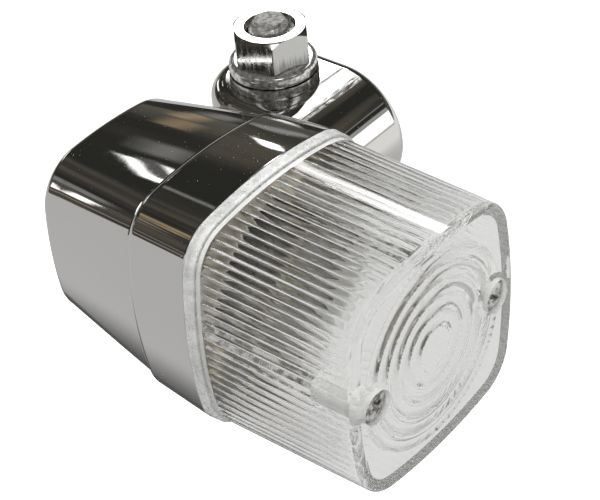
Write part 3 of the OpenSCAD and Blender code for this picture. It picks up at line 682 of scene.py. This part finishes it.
def lay_on_axis(piece, x=axis_x, ahead=0, z=axis_z):
    """Turns a piece drawn along +Z so that it points forwards, and puts it in place for good."""
    take(piece)
    piece.matrix_world = Matrix.Translation((x * mm, -ahead * mm, z * mm)) @ Matrix.Rotation(pi / 2, 4, "X")
    bpy.ops.object.transform_apply(location=True, rotation=True, scale=True)
    return piece


grommet = turned_part("rubber_grommet", rounded([
    (2.1, -12.9), (3.7, -12.9), (4.4, -12.3), (4.4, -11.72), (3.25, -11.7), (3.25, -9.2),
    (4.4, -9.18), (4.4, -8.5), (4.0, -8.0), (2.1, -8.0)], 0.3, 4))
grommet = lay_on_axis(grommet, entry_x, 0, entry_z)
finish_mesh(grommet, 30)
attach(grommet, "root")
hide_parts("cable_grommet")
black_rubber, tree, shader = new_finish("black_rubber", (0.022, 0.022, 0.021), 0.0, 0.55)
soot = blend_colour(tree, grain(tree, 420, 4), (0.014, 0.014, 0.013), (0.040, 0.039, 0.037))
tree.links.new(soot, shader.inputs["Base Color"])
vary_gloss(tree, shader, grain(tree, 900, 3), 0.45, 0.7)
relief(tree, shader, grain(tree, 2600, 3.0), 0.02, 0.5)
dress(grommet, black_rubber)


# Bulb holder's contact parts: two discs punched from brown resin board, a riveted brass
# terminal with its blade, and a brass plunger that a steel spring presses on the bulb.
def eased_copy(node, name, width=0.1):
    """A copy of a piece as drawn, with its flat faces made whole and its edges eased."""
    take(frame["nodes"][node])
    bpy.ops.object.duplicate()
    piece = bpy.context.object
    bpy.ops.object.parent_clear(type="CLEAR_KEEP_TRANSFORM")
    piece.name = name
    for note in list(piece.keys()):
        del piece[note]
    bpy.ops.object.mode_set(mode="EDIT")
    bpy.ops.mesh.select_all(action="SELECT")
    bpy.ops.mesh.remove_doubles(threshold=1e-6)
    bpy.ops.mesh.dissolve_limited(angle_limit=radians(0.5))
    bpy.ops.mesh.normals_make_consistent(inside=False)
    bpy.ops.object.mode_set(mode="OBJECT")
    bpy.ops.object.modifier_add(type="BEVEL")
    edge = piece.modifiers[-1]
    edge.width = width * mm
    edge.segments = 2
    edge.limit_method = "ANGLE"
    edge.angle_limit = radians(30)
    edge.use_clamp_overlap = True
    bpy.ops.object.modifier_apply(modifier=edge.name)
    finish_mesh(piece, 35, True)
    return piece


back_disc = lay_on_axis(turned_part("terminal_board", rounded([
    (1.52, -6.2), (8.3, -6.2), (8.3, -5.2), (7.6, -5.2), (7.6, -3.8), (1.52, -3.8)], 0.12)))
moving_disc = lay_on_axis(turned_part("plunger_board", rounded([
    (1.52, 1.6), (7.6, 1.6), (7.6, 3.2), (1.52, 3.2)], 0.12)))
terminal = eased_copy("feed_terminal", "terminal_blade", 0.08)
plunger = lay_on_axis(turned_part("spring_plunger", rounded([
    (0, 0.8), (2.3, 0.8), (2.3, 1.6), (1.5, 1.6), (1.5, 3.2), (2.3, 3.2), (2.3, 4.6), (1.6, 5.0), (0, 5.0)],
    0.15), 48))


def wire_along(name, path, r, sides=10):
    """A round wire drawn along a path of points, in millimetres, closed at both ends."""
    rings = []
    for i, here in enumerate(path):
        ahead = (path[min(i + 1, len(path) - 1)] - path[max(i - 1, 0)]).normalized()
        if i == 0:
            across = ahead.cross(Vector((0.13, 0.31, 0.94))).normalized()
        else:
            across = (across - ahead * across.dot(ahead)).normalized()
        upright = ahead.cross(across)
        ring = []
        for k in range(sides):
            angle = 2 * pi * k / sides
            ring.append((here + r * (cos(angle) * across + sin(angle) * upright)) * mm)
        rings.append(ring)
    return loft(name, rings)


coil_r, coils, per_coil = 2.9, 6, 24
path = []
for k in range(coils * per_coil + 1):
    turns = k / per_coil
    ahead = -3.5 + 4.8 * min(max((turns - 0.85) / 4.3, 0), 1)
    angle = 2 * pi * turns
    path.append(Vector((axis_x + coil_r * cos(angle), -ahead, axis_z + coil_r * sin(angle))))
spring = wire_along("coil_spring", path, 0.29)
for piece, node, slot_name in (
    (back_disc, "terminal_disc", "phenolic"), (moving_disc, "plunger_disc", "phenolic"),
    (terminal, "feed_terminal", "holder_brass"), (plunger, "contact_plunger", "holder_brass"),
    (spring, "contact_spring", "spring_steel"),
):
    finish_mesh(piece, 35)
    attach(piece, "root")
    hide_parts(node)
resin_board, tree, shader = new_finish("resin_board", (0.10, 0.048, 0.022), 0.0, 0.42)
mottle(tree, shader, grain(tree, 700, 5, (1, 6, 1)), 0.35, 0.65, (0.060, 0.028, 0.014), (0.150, 0.075, 0.036))
relief(tree, shader, grain(tree, 1600, 3.0), 0.02, 0.4)
dull_brass, tree, shader = new_finish("dull_brass", (0.60, 0.56, 0.48), 0.6, 0.34)
mottle(tree, shader, grain(tree, 260, 5), 0.35, 0.65, (0.46, 0.43, 0.37), (0.84, 0.80, 0.72))
vary_gloss(tree, shader, grain(tree, 1200, 4), 0.24, 0.5)
relief(tree, shader, grain(tree, 2400, 3.0), 0.01, 0.4)
spring_wire, tree, shader = new_finish("spring_wire", (0.50, 0.49, 0.47), 1.0, 0.28)
vary_gloss(tree, shader, grain(tree, 2200, 4), 0.18, 0.42)
relief(tree, shader, grain(tree, 5000, 2.0), 0.004, 0.4)
for piece, made in (
    (back_disc, resin_board), (moving_disc, resin_board),
    (terminal, dull_brass), (plunger, dull_brass), (spring, spring_wire),
):
    dress(piece, made)


# Holder tube and its rivets: a brass tube rolled with a flange and two bayonet slots. Two
# tubular rivets hold its flange to the carrier plate.
holder = eased_copy("holder_tube", "bayonet_tube", 0.08)
rivets = eased_copy("holder_rivets", "tube_rivets", 0.12)
for piece, node in ((holder, "holder_tube"), (rivets, "holder_rivets")):
    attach(piece, "root")
    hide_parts(node)
    dress(piece, dull_brass)


# Carrier plate: pressed from steel sheet and passivated yellow, with blotches where the
# finish took unevenly. It carries the holder, and two screws fix it to posts in the body.
plate = eased_copy("carrier_plate", "yellow_plate", 0.1)
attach(plate, "root")
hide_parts("carrier_plate")
yellow_coat, tree, shader = new_finish("yellow_passivated", (0.50, 0.42, 0.28), 0.7, 0.38)
mottle(tree, shader, grain(tree, 190, 4), 0.50, 0.60, (0.30, 0.25, 0.175), (0.84, 0.75, 0.50))
vary_gloss(tree, shader, grain(tree, 900, 4), 0.28, 0.55)
relief(tree, shader, grain(tree, 1500, 3.0), 0.015, 0.4)
dress(plate, yellow_coat)


# Plate screws: two short steel machine screws with round heads and cross recesses. They
# pull the carrier plate down on its posts, above and below the bulb holder.
def threaded(name, radius, pitch, start, end, steps=24, depth=0.6):
    """A thread cut along +Z over a length: one tooth is swept round as a helix and its ends are closed."""
    turns = int(round((end - start) / pitch))
    bpy.ops.object.select_all(action="DESELECT")
    bpy.ops.mesh.primitive_circle_add(vertices=3, radius=1)
    piece = bpy.context.object
    piece.name = name
    bpy.ops.object.mode_set(mode="EDIT")
    bpy.ops.mesh.select_all(action="SELECT")
    bpy.ops.mesh.delete(type="EDGE_FACE")
    shape = bmesh.from_edit_mesh(piece.data)
    shape.verts.ensure_lookup_table()
    root = radius - depth * pitch
    for v, (r, h) in zip(shape.verts, ((root, 0), (radius, pitch * 0.5), (root, pitch))):
        v.co = (r * mm, 0, h * mm)
    shape.edges.new((shape.verts[0], shape.verts[1]))
    shape.edges.new((shape.verts[1], shape.verts[2]))
    bmesh.update_edit_mesh(piece.data)
    bpy.ops.object.mode_set(mode="OBJECT")
    bpy.ops.object.modifier_add(type="SCREW")
    sweep = piece.modifiers[-1]
    sweep.steps = steps
    sweep.render_steps = steps
    sweep.iterations = turns
    sweep.screw_offset = pitch * mm
    sweep.use_merge_vertices = True
    sweep.merge_threshold = 1e-6
    bpy.ops.object.modifier_apply(modifier=sweep.name)
    bpy.ops.object.mode_set(mode="EDIT")
    bpy.ops.mesh.select_all(action="SELECT")
    bpy.ops.mesh.remove_doubles(threshold=1e-6)
    bpy.ops.mesh.fill_holes(sides=0)
    bpy.ops.mesh.normals_make_consistent(inside=False)
    bpy.ops.object.mode_set(mode="OBJECT")
    return piece


def round_head(r, height, crown, steps=8):
    """Outline of a low domed screw head, from the top's middle down to the underside."""
    found = [(0, height)]
    for i in range(1, steps + 1):
        t = i / steps
        found.append((r * t, height - crown * (1 - sqrt(max(1 - (0.96 * t) ** 2, 0)))))
    found += [(r, 0.12), (r - 0.1, 0), (0, 0)]
    return found


def cross_recess(piece, height, length, width, depth, turn):
    """Presses a tapered cross into the top of a screw head."""
    for angle in (turn, turn + 90):
        bpy.ops.mesh.primitive_cone_add(
            vertices=4, radius1=0.25 * mm, radius2=length * mm, depth=(depth + 0.6) * mm,
            location=(0, 0, (height - depth / 2 + 0.3) * mm))
        tool = bpy.context.object
        tool.data.transform(Matrix.Rotation(pi / 4, 4, "Z"))
        for v in tool.data.vertices:
            v.co.y = width / 2 * mm * (1 if v.co.y > 0 else -1) * (1 if v.co.z > 0 else 0.25)
        tool.rotation_euler = (0, 0, radians(angle))
        bpy.context.view_layer.update()
        cut(piece, tool)
    return piece


def cross_screw(x, z, head_at, length, turn):
    """A machine screw with its head's underside at a distance ahead, and its thread behind it."""
    head_r, head_height, crown, thread_r, pitch = 2.9, 2.1, 0.6, 1.5, 0.5
    head = turned_part("screw_head", round_head(head_r, head_height, crown))
    head = cross_recess(head, head_height, 3.1, 1.35, 1.2, turn)
    finish_mesh(head, 30)
    shank = threaded("screw_shank", thread_r, pitch, head_at - length, head_at)
    finish_mesh(shank, 20)
    return [lay_on_axis(head, x, head_at, z), lay_on_axis(shank, x, head_at - length, z)]


plate_screw_off = 15.2216
screws = cross_screw(axis_x, axis_z + plate_screw_off, head_at=20.0, length=8, turn=12)
screws += cross_screw(axis_x, axis_z - plate_screw_off, head_at=20.0, length=8, turn=55)
screws = join(screws, "short_plate_screws")
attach(screws, "root")
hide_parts("plate_screws")
screw_steel, tree, shader = new_finish("screw_steel", (0.62, 0.61, 0.58), 1.0, 0.15)
mottle(tree, shader, grain(tree, 800, 4), 0.42, 0.56, (0.20, 0.195, 0.185), (0.74, 0.73, 0.71))
vary_gloss(tree, shader, grain(tree, 2500, 4), 0.06, 0.24)
relief(tree, shader, grain(tree, 3000, 3.0), 0.02, 0.5)
dress(screws, screw_steel)


# Bulb: a brass bayonet cap with two pins, black glass in its base with a soldered
# contact, and inside the blown glass a clear stem, two leads and a coiled filament.
cap_r, cap_bore, cap_from, cap_to = 7.5, 7.1, 5.8, 20.3
cap = lay_on_axis(turned_part("bayonet_cap", rounded([
    (cap_bore, cap_from), (cap_r, cap_from), (cap_r, cap_to), (cap_bore, cap_to)], 0.12), 72))
bpy.ops.mesh.primitive_cylinder_add(
    vertices=32, radius=1.02 * mm, depth=20 * mm,
    location=(axis_x * mm, -12 * mm, axis_z * mm), rotation=(0, pi / 2, 0))
cap = cut(cap, bpy.context.object)
pins = eased_copy("bulb_pins", "cap_pins", 0.15)
base_glass = lay_on_axis(turned_part("cap_base_glass", rounded([
    (1.22, 5.9), (2.6, 5.8), (7.08, 6.3), (7.08, 8.2), (1.22, 8.2)], 0.2)))
solder = lay_on_axis(turned_part("solder_contact", [
    (0, 5.0), (0.9, 5.04), (1.6, 5.16), (2.1, 5.36), (2.36, 5.6), (2.4, 5.79),
    (1.2, 5.8), (1.2, 8.2), (0, 8.2)], 48))
tube_r, tube_from, shoulder_at, shoulder_r = 6.9, 8.2, 24.715, 5
globe_at, globe_r, glass_wall = 33, 9.5, 0.6
outer = [(tube_r, tube_from + (shoulder_at - tube_from) * i / 8) for i in range(9)]
for i in range(1, 9):
    t = pi - 0.608 * i / 8
    outer.append((tube_r + shoulder_r + shoulder_r * cos(t), shoulder_at + shoulder_r * sin(t)))
start = atan2(outer[-1][1] - globe_at, outer[-1][0])
for i in range(1, 37):
    t = start + (pi / 2 - start) * i / 36
    outer.append((globe_r * cos(t) if i < 36 else 0, globe_at + globe_r * sin(t)))
inner = []
for i, (r, h) in enumerate(outer[:-1]):
    before, after = outer[max(i - 1, 0)], outer[i + 1]
    away = Vector((after[1] - before[1], before[0] - after[0])).normalized()
    inner.append((max(r - glass_wall * away.x, 0), h - glass_wall * away.y))
inner.append((0, outer[-1][1] - glass_wall))
globe = lay_on_axis(turned_part("bulb_globe", outer + inner[::-1], 72))
rings = []
for r, flat, ahead in (
    (6.2, 1.0, 8.2), (6.28, 1.0, 8.6), (6.28, 1.0, 9.8), (5.6, 1.0, 10.2),
    (4.3, 1.0, 11.0), (4.2, 1.0, 14.0), (4.2, 0.9, 17.0), (4.2, 0.55, 20.0),
    (4.2, 0.36, 23.0), (4.2, 0.34, 25.6), (4.05, 0.30, 26.3), (3.8, 0.2, 26.5),
):
    ring = []
    for i in range(40):
        angle = 2 * pi * i / 40
        x, z = axis_x + r * cos(angle), axis_z + flat * r * sin(angle)
        ring.append(Vector((x * mm, -ahead * mm, z * mm)))
    rings.append(ring)
stem = loft("glass_stem", rings)
leads = []
for side_of in (-1, 1):
    path = [Vector((axis_x + side_of * x, -ahead, axis_z + lift)) for x, ahead, lift in (
        (3.4, 8.2, 0), (3.4, 14, 0), (3.4, 20, 0), (3.4, 26.5, 0), (3.42, 29, 0), (3.4, 31.5, 0),
        (3.3, 32.9, -0.1), (3.2, 33.35, -0.25), (3.1, 33.4, 0.0), (3.1, 33.2, 0.3))]
    leads.append(wire_along("lead_wire", path, 0.28))
leads = join(leads, "lead_wires")
turns, per_turn, coil_length, wound_r = 31, 10, 6.2, 0.27
path = []
for k in range(turns * per_turn + 1):
    angle = 2 * pi * k / per_turn
    x = axis_x - coil_length / 2 + coil_length * k / (turns * per_turn)
    path.append(Vector((x, -(globe_at + wound_r * cos(angle)), axis_z + wound_r * sin(angle))))
filament = wire_along("coiled_filament", path, 0.06, 6)
for piece, node, slot_name in (
    (cap, "bulb_cap", "cap_brass"), (pins, "bulb_pins", "cap_brass"),
    (base_glass, "bulb_insulator", "black_glass"), (solder, "bulb_contact", "solder"),
    (stem, "bulb_stem", "bulb_glass"), (leads, "bulb_leads", "spring_steel"),
    (filament, "bulb_filament", "filament_wire"), (globe, "bulb_glass", "bulb_glass"),
):
    finish_mesh(piece, 35)
    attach(piece, "root")
    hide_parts(node)


def let_light_in(tree, shader, share=(0.93, 0.93, 0.92)):
    """Clear pieces pass lamp light on to what lies behind them."""
    pass_on = plain_shader(tree, "ShaderNodeBsdfTransparent", share)
    look = for_ray(tree, "Is Shadow Ray", pass_on, shader.outputs[0])
    tree.links.new(look, tree.nodes["Material Output"].inputs[0])


cap_brass, tree, shader = new_finish("cap_brass", (0.58, 0.50, 0.34), 1.0, 0.26)
mottle(tree, shader, grain(tree, 320, 4), 0.35, 0.65, (0.32, 0.28, 0.21), (0.58, 0.53, 0.42))
vary_gloss(tree, shader, grain(tree, 1500, 4), 0.18, 0.4)
relief(tree, shader, grain(tree, 3000, 3.0), 0.006, 0.4)
dark_glass, tree, shader = new_finish("dark_glass", (0.012, 0.012, 0.016), 0.0, 0.08)
vary_gloss(tree, shader, grain(tree, 800, 3), 0.04, 0.2)
relief(tree, shader, grain(tree, 500, 2.0), 0.03, 0.4)
soft_solder, tree, shader = new_finish("soft_solder", (0.55, 0.55, 0.56), 1.0, 0.4)
vary_gloss(tree, shader, grain(tree, 1500, 4), 0.28, 0.55)
relief(tree, shader, grain(tree, 1200, 3.0), 0.03, 0.5)
hot_wire, tree, shader = new_finish("filament_wire", (0.16, 0.155, 0.15), 1.0, 0.45)
vary_gloss(tree, shader, grain(tree, 5000, 3), 0.35, 0.6)
blown_glass, tree, shader = new_finish("blown_glass", (0.97, 0.975, 0.97), 0.0, 0.0, 1.50, 1.0)
relief(tree, shader, grain(tree, 160, 1.0), 0.01, 0.4)
let_light_in(tree, shader)
for piece, made in (
    (cap, cap_brass), (pins, cap_brass), (base_glass, dark_glass), (solder, soft_solder),
    (stem, blown_glass), (leads, spring_wire), (filament, hot_wire), (globe, blown_glass),
):
    dress(piece, made)


# Lens gasket: a soft black rubber frame, moulded to the seat's outline. The lens's rear
# edge presses it against the seat in the collar and keeps water out.
sealed = [section(h, c, a) for h, c, a in (
    (20.75, 6.4, 23.1), (20.85, 6.5, 23.2), (20.85, 6.5, 24.0), (20.75, 6.4, 24.1),
    (19.75, 5.4, 24.1), (19.65, 5.3, 24.0), (19.65, 5.3, 23.2), (19.75, 5.4, 23.1))]
gasket = loft("rubber_gasket", sealed + sealed[:1], False, False)
bpy.ops.object.mode_set(mode="EDIT")
close_up()
finish_mesh(gasket, 30)
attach(gasket, "root")
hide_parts("lens_gasket")
dress(gasket, black_rubber)


# Lens: one clear moulding whose flange fills the collar's mouth. The outside is smooth,
# the walls are fluted inside, and rings of optics stand inside the front face. Two
# hollow pillars behind the front face carry the long screws.
flange_at, front_at, spigot_at, inner_front = 28.4, 59.9, 24.1, 57.3
side_half, side_corner, taper, front_half, front_round, lens_wall = 21.55, 7.95, 0.6, 20.95, 1.2, 2.2
flange_half, flange_corner, spigot_half, spigot_corner = 22.1, 7.9, 20.85, 6.5
flutes, per_flute, dome = 84, 8, 0.375


def lens_half(ahead):
    """Half the lens's width: its sides taper towards the front."""
    return side_half - taper * (ahead - flange_at) / (front_at - flange_at)


def even_section(half, corner, ahead, inset=0.0, flute=0.0, share=1.0):
    """The body's square, with its points evenly spaced, so that flutes of one width can run round it."""
    c, a = corner_centre(half, corner)
    side_length, corner_length = bow * a, corner * (pi / 2 - 2 * a)
    count = flutes * per_flute
    points = []
    for i in range(count):
        q, s = divmod(4 * i / count, 1)
        s *= 2 * side_length + corner_length
        bump = 1 - abs(2 * (i * flutes / count % 1) - 1) ** 4
        d = inset + flute * bump
        if s < side_length:
            t = s / bow
            x, z = half - bow + (bow - d) * cos(t), (bow - d) * sin(t)
        elif s < side_length + corner_length:
            t = a + (s - side_length) / corner
            x, z = c + (corner - d) * cos(t), c + (corner - d) * sin(t)
        else:
            t = (2 * side_length + corner_length - s) / bow
            x, z = (bow - d) * sin(t), half - bow + (bow - d) * cos(t)
        x, z = ((x, z), (-z, x), (-x, -z), (z, -x))[int(q)]
        points.append(Vector(((axis_x + share * x) * mm, -ahead * mm, (axis_z + share * z) * mm)))
    return points


ring_first, ring_last, ring_width, ring_rise = 3.8, 17.8, 2.8, 0.7


def ring_height(r):
    """How far the ring optics stand behind the inside of the front face at a radius."""
    if r < ring_first or r > ring_last:
        return 0.0
    across = ring_width / 2 * (2 * ((r - ring_first) / ring_width % 1) - 1)
    crown_r = (ring_rise ** 2 + (ring_width / 2) ** 2) / (2 * ring_rise)
    return sqrt(max(crown_r ** 2 - across ** 2, 0)) - crown_r + ring_rise


rings = []
for share in (0.01, 0.1, 0.25, 0.4, 0.55, 0.7, 0.82, 0.92):
    domed = front_at + dome * (1 - share ** 2)
    rings.append(even_section(front_half - front_round, 6.8, domed, share=share))
for ahead, half, corner in reversed(arc_stations(front_at, front_half, 8.0, front_round, -1, 10)):
    rings.append(even_section(half, corner, ahead))
for ahead in (52, 44, 36, 30):
    rings.append(even_section(lens_half(ahead), side_corner, ahead))
rings.append(even_section(21.6, flange_corner, flange_at + 0.05))
rings.append(even_section(21.75, flange_corner, flange_at))
for ahead, half, corner in reversed(arc_stations(flange_at, flange_half, flange_corner, 0.3, -1, 4)):
    rings.append(even_section(half, corner, ahead))
rings.append(even_section(flange_half + 0.1, flange_corner, joint_at + 0.12))
rings.append(even_section(flange_half, 7.8, joint_at + 0.02))
rings.append(even_section(spigot_half, spigot_corner, joint_at + 0.02))
rings.append(even_section(spigot_half, spigot_corner, spigot_at + 0.06))
rings.append(even_section(lens_half(spigot_at), flange_corner, spigot_at + 0.06, inset=lens_wall))
for ahead, flute in ((28.2, 0.0), (28.9, 0.3), (40, 0.3), (50, 0.28), (53, 0.14), (inner_front - 0.6, 0.0)):
    rings.append(even_section(lens_half(ahead), side_corner, ahead, inset=lens_wall, flute=flute))
steps = 86
for i in range(steps):
    share = 0.995 - 0.98 * i / (steps - 1)
    ring = even_section(lens_half(inner_front), 8.0, inner_front, inset=lens_wall, share=share)
    for p in ring:
        r = sqrt((p.x / mm - axis_x) ** 2 + (p.z / mm - axis_z) ** 2)
        p.y = -(inner_front - ring_height(r)) * mm
    rings.append(ring)
lens = loft("clear_lens", rings)

lens_screw_off, pillar_r, through_r, counterbore_r = 16, 3.95, 1.8, 3.05
for side_of in (-1, 1):
    at_x = axis_x + side_of * lens_screw_off
    lens = cut(lens, rod_ahead(at_x, 54.2, axis_z, pillar_r, 7.8), "UNION")
    lens = cut(lens, rod_ahead(at_x, 57, axis_z, through_r, 16))
    lens = cut(lens, rod_ahead(at_x, 60.5, axis_z, counterbore_r, 6))
finish_mesh(lens, 35, True)
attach(lens, "root")
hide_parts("lens")
clear, tree, shader = new_finish("clear_moulding", (0.985, 0.985, 0.98), 0.0, 0.0, 1.49, 1.0)
relief(tree, shader, grain(tree, 220, 2.0), 0.004, 0.4)
let_light_in(tree, shader)
dress(lens, clear)
frosted, tree, shader = new_finish("frosted_flange", (0.92, 0.92, 0.91), 0.0, 0.3, 1.49, 0.6)
vary_gloss(tree, shader, grain(tree, 700, 4), 0.12, 0.5)
mottle(tree, shader, grain(tree, 420, 4), 0.4, 0.6, (0.76, 0.76, 0.75), (0.98, 0.98, 0.97))
ripples = relief(tree, shader, grain(tree, 380, 3.0), 0.25, 0.8)
relief(tree, shader, grain(tree, 1300, 3.0), 0.05, 0.6, ripples)
let_light_in(tree, shader)
bored_wall, tree, shader = new_finish("bored_wall", (0.88, 0.88, 0.87), 0.0, 0.25, 1.49, 0.35)
vary_gloss(tree, shader, grain(tree, 900, 3), 0.18, 0.34)
relief(tree, shader, grain(tree, 1200, 3.0), 0.03, 0.5)
let_light_in(tree, shader)
satin, tree, shader = new_finish("moulded_satin", (0.95, 0.95, 0.94), 0.0, 0.35, 1.49, 0.1)
vary_gloss(tree, shader, grain(tree, 900, 3), 0.3, 0.4)
relief(tree, shader, grain(tree, 1200, 3.0), 0.008, 0.4)
let_light_in(tree, shader)
for made in (frosted, satin, bored_wall):
    lens.data.materials.append(made)
for face in lens.data.polygons:
    ahead, outward = -face.center.y / mm, facing_out(face)
    aside, above = abs(face.center.x / mm - axis_x) - lens_screw_off, face.center.z / mm - axis_z
    off_screw = sqrt(aside ** 2 + above ** 2)
    if ahead < joint_at + 0.04 or (ahead < flange_at and outward < -0.3):
        face.material_index = 2
    elif ahead > 50 and off_screw < counterbore_r + 0.15 and abs(face.normal.y) < 0.5:
        face.material_index = 3
    elif ahead < flange_at + 0.06 and (outward > 0.3 or face.normal.y < -0.7):
        face.material_index = 1


# Lens screws: two long steel machine screws, sunk in the lens face. Their threads run
# back through the lens to posts in the body and hold the lens on its gasket.
screws = cross_screw(axis_x - lens_screw_off, axis_z, head_at=57.5, length=48, turn=20)
screws += cross_screw(axis_x + lens_screw_off, axis_z, head_at=57.5, length=48, turn=62)
screws = join(screws, "long_lens_screws")
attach(screws, "root")
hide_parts("lens_screws")
dress(screws, screw_steel)


# Lock washer: a coil of spring steel, split at one side, that bites under the plain
# washer. Its outer edge is rough, and painted shade darkens the joint between the two washers.
split_at, gap, mid_r, inner_r, outer_r, thick = radians(133), 1.0, 6.3, 4.25, 8.26, 2.1
corners = rounded([(inner_r, 0.0), (outer_r, 0.0), (outer_r, thick), (inner_r, thick)], 0.22, 3)
rings = []
for k in range(121):
    angle = split_at + gap / 2 / mid_r + (2 * pi - gap / mid_r) * k / 120
    ring = []
    for r, z in corners:
        if r > 7:
            r += 0.04 * noise.noise(Vector((9 * cos(angle), 9 * sin(angle), z * 3)))
        ring.append(Vector((r * cos(angle) * mm, r * sin(angle) * mm, z * mm)))
    rings.append(ring)
split_washer = loft("split_lock_washer", rings)
finish_mesh(split_washer, 28, True)
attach(split_washer, "root")
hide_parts("lock_washer")


def height_in(tree):
    """Height in the piece's own space, in metres."""
    where = tree.nodes.new("ShaderNodeTexCoord")
    parts = tree.nodes.new("ShaderNodeSeparateXYZ")
    tree.links.new(where.outputs["Object"], parts.inputs[0])
    return parts.outputs["Z"]


washer_steel, tree, shader = new_finish("washer_steel", (0.70, 0.695, 0.68), 0.85, 0.2)
vary_gloss(tree, shader, grain(tree, 1400, 4), 0.07, 0.22)
speckle = spread(tree, grain(tree, 1300, 4), 0.0, 1.0, 0.40, 0.58)
speckled = blend_colour(tree, speckle, (0.46, 0.455, 0.44), (0.84, 0.83, 0.81))
# Painted shade: the colour turns dark in a thin band at the joint between the two washers.
off_joint = sum_up(tree, "ABSOLUTE", sum_up(tree, "SUBTRACT", height_in(tree), 0.00212))
painted_joint_shade = ease(tree, off_joint, 0.0001, 0.00028)
tree.links.new(blend_colour(tree, painted_joint_shade, (0.05, 0.048, 0.045), speckled), shader.inputs["Base Color"])
rings_cut = relief(tree, shader, grain(tree, 260, 3.0, (0.3, 0.3, 10)), 0.02, 0.5)
relief(tree, shader, grain(tree, 2600, 2.0), 0.008, 0.5, rings_cut)
dress(split_washer, washer_steel)


# Plain washer: blanked from bright steel, with the round top edge that the punch leaves.
# It spreads the nut's load over the lock washer.
plain = turned_part("bright_washer", rounded([
    (inner_r, 2.12), (8.13, 2.12), (8.13, 3.55), (7.9, 4.17), (7.3, 4.4), (inner_r, 4.4)], 0.3, 4), 120)
finish_mesh(plain, 28, True)
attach(plain, "root")
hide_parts("plain_washer")
dress(plain, washer_steel)


# Nut: a plated steel hexagon, turned off round its top face and countersunk at the
# thread. It clamps the foot to the vehicle through both washers.
across_flats, nut_height, nut_from, nut_turn = 13, 6.5, 4.4, radians(13)
bpy.ops.mesh.primitive_cylinder_add(
    vertices=6, radius=across_flats / 2 / cos(pi / 6) * mm, depth=nut_height * mm,
    location=(0, 0, (nut_from + nut_height / 2) * mm), rotation=(0, 0, nut_turn))
nut = bpy.context.object
nut.name = "hexagon_nut"
bpy.ops.object.transform_apply(location=True, rotation=True, scale=True)
bpy.ops.object.mode_set(mode="EDIT")
bpy.ops.mesh.select_mode(type="EDGE")
bpy.ops.mesh.select_all(action="DESELECT")
shape = bmesh.from_edit_mesh(nut.data)
for e in shape.edges:
    e.select = abs(e.verts[0].co.z - e.verts[1].co.z) > 1 * mm
bmesh.update_edit_mesh(nut.data)
bpy.ops.mesh.bevel(offset=0.28 * mm, segments=4)
bpy.ops.object.mode_set(mode="OBJECT")
turned = turned_part("nut_turning", rounded([
    (0, nut_from), (6.9, nut_from), (7.4, 4.7), (7.56, 5.2), (7.56, 9.85), (6.63, 10.9), (0, 10.9)],
    0.22), 120)
nut = cut(nut, turned, "INTERSECT")
bpy.ops.mesh.primitive_cylinder_add(
    vertices=72, radius=(stud_r + 0.02) * mm, depth=12 * mm, location=(0, 0, 8 * mm))
nut = cut(nut, bpy.context.object)
bpy.ops.mesh.primitive_cone_add(
    vertices=72, radius1=3.9 * mm, radius2=5.05 * mm, depth=1.5 * mm, location=(0, 0, 10.55 * mm))
nut = cut(nut, bpy.context.object)
finish_mesh(nut, 25, True)
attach(nut, "root")
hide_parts("mounting_nut")
nut_plate, tree, shader = new_finish("nut_plate", (0.68, 0.675, 0.66), 1.0, 0.1)
# Painted shade: the nut's colour is darker towards its bottom and paler higher up, with a noisy boundary
# between.
low_down = spread(tree, grain(tree, 1500, 4, (1, 1, 0.1)), -0.0012, 0.0012)
low_down = sum_up(tree, "ADD", low_down, height_in(tree))
painted_low_shade = blend_colour(tree, ease(tree, low_down, 0.0048, 0.0075), (0.34, 0.335, 0.325), (0.72, 0.715, 0.70))
tree.links.new(painted_low_shade, shader.inputs["Base Color"])
vary_gloss(tree, shader, grain(tree, 1600, 4, (1, 1, 0.2)), 0.04, 0.2)
brushed = relief(tree, shader, grain(tree, 1700, 3.0, (1, 1, 0.1)), 0.008, 0.4)
relief(tree, shader, grain(tree, 300, 2.0), 0.012, 0.4, brushed)
dress(nut, nut_plate)

bpy.context.view_layer.update()
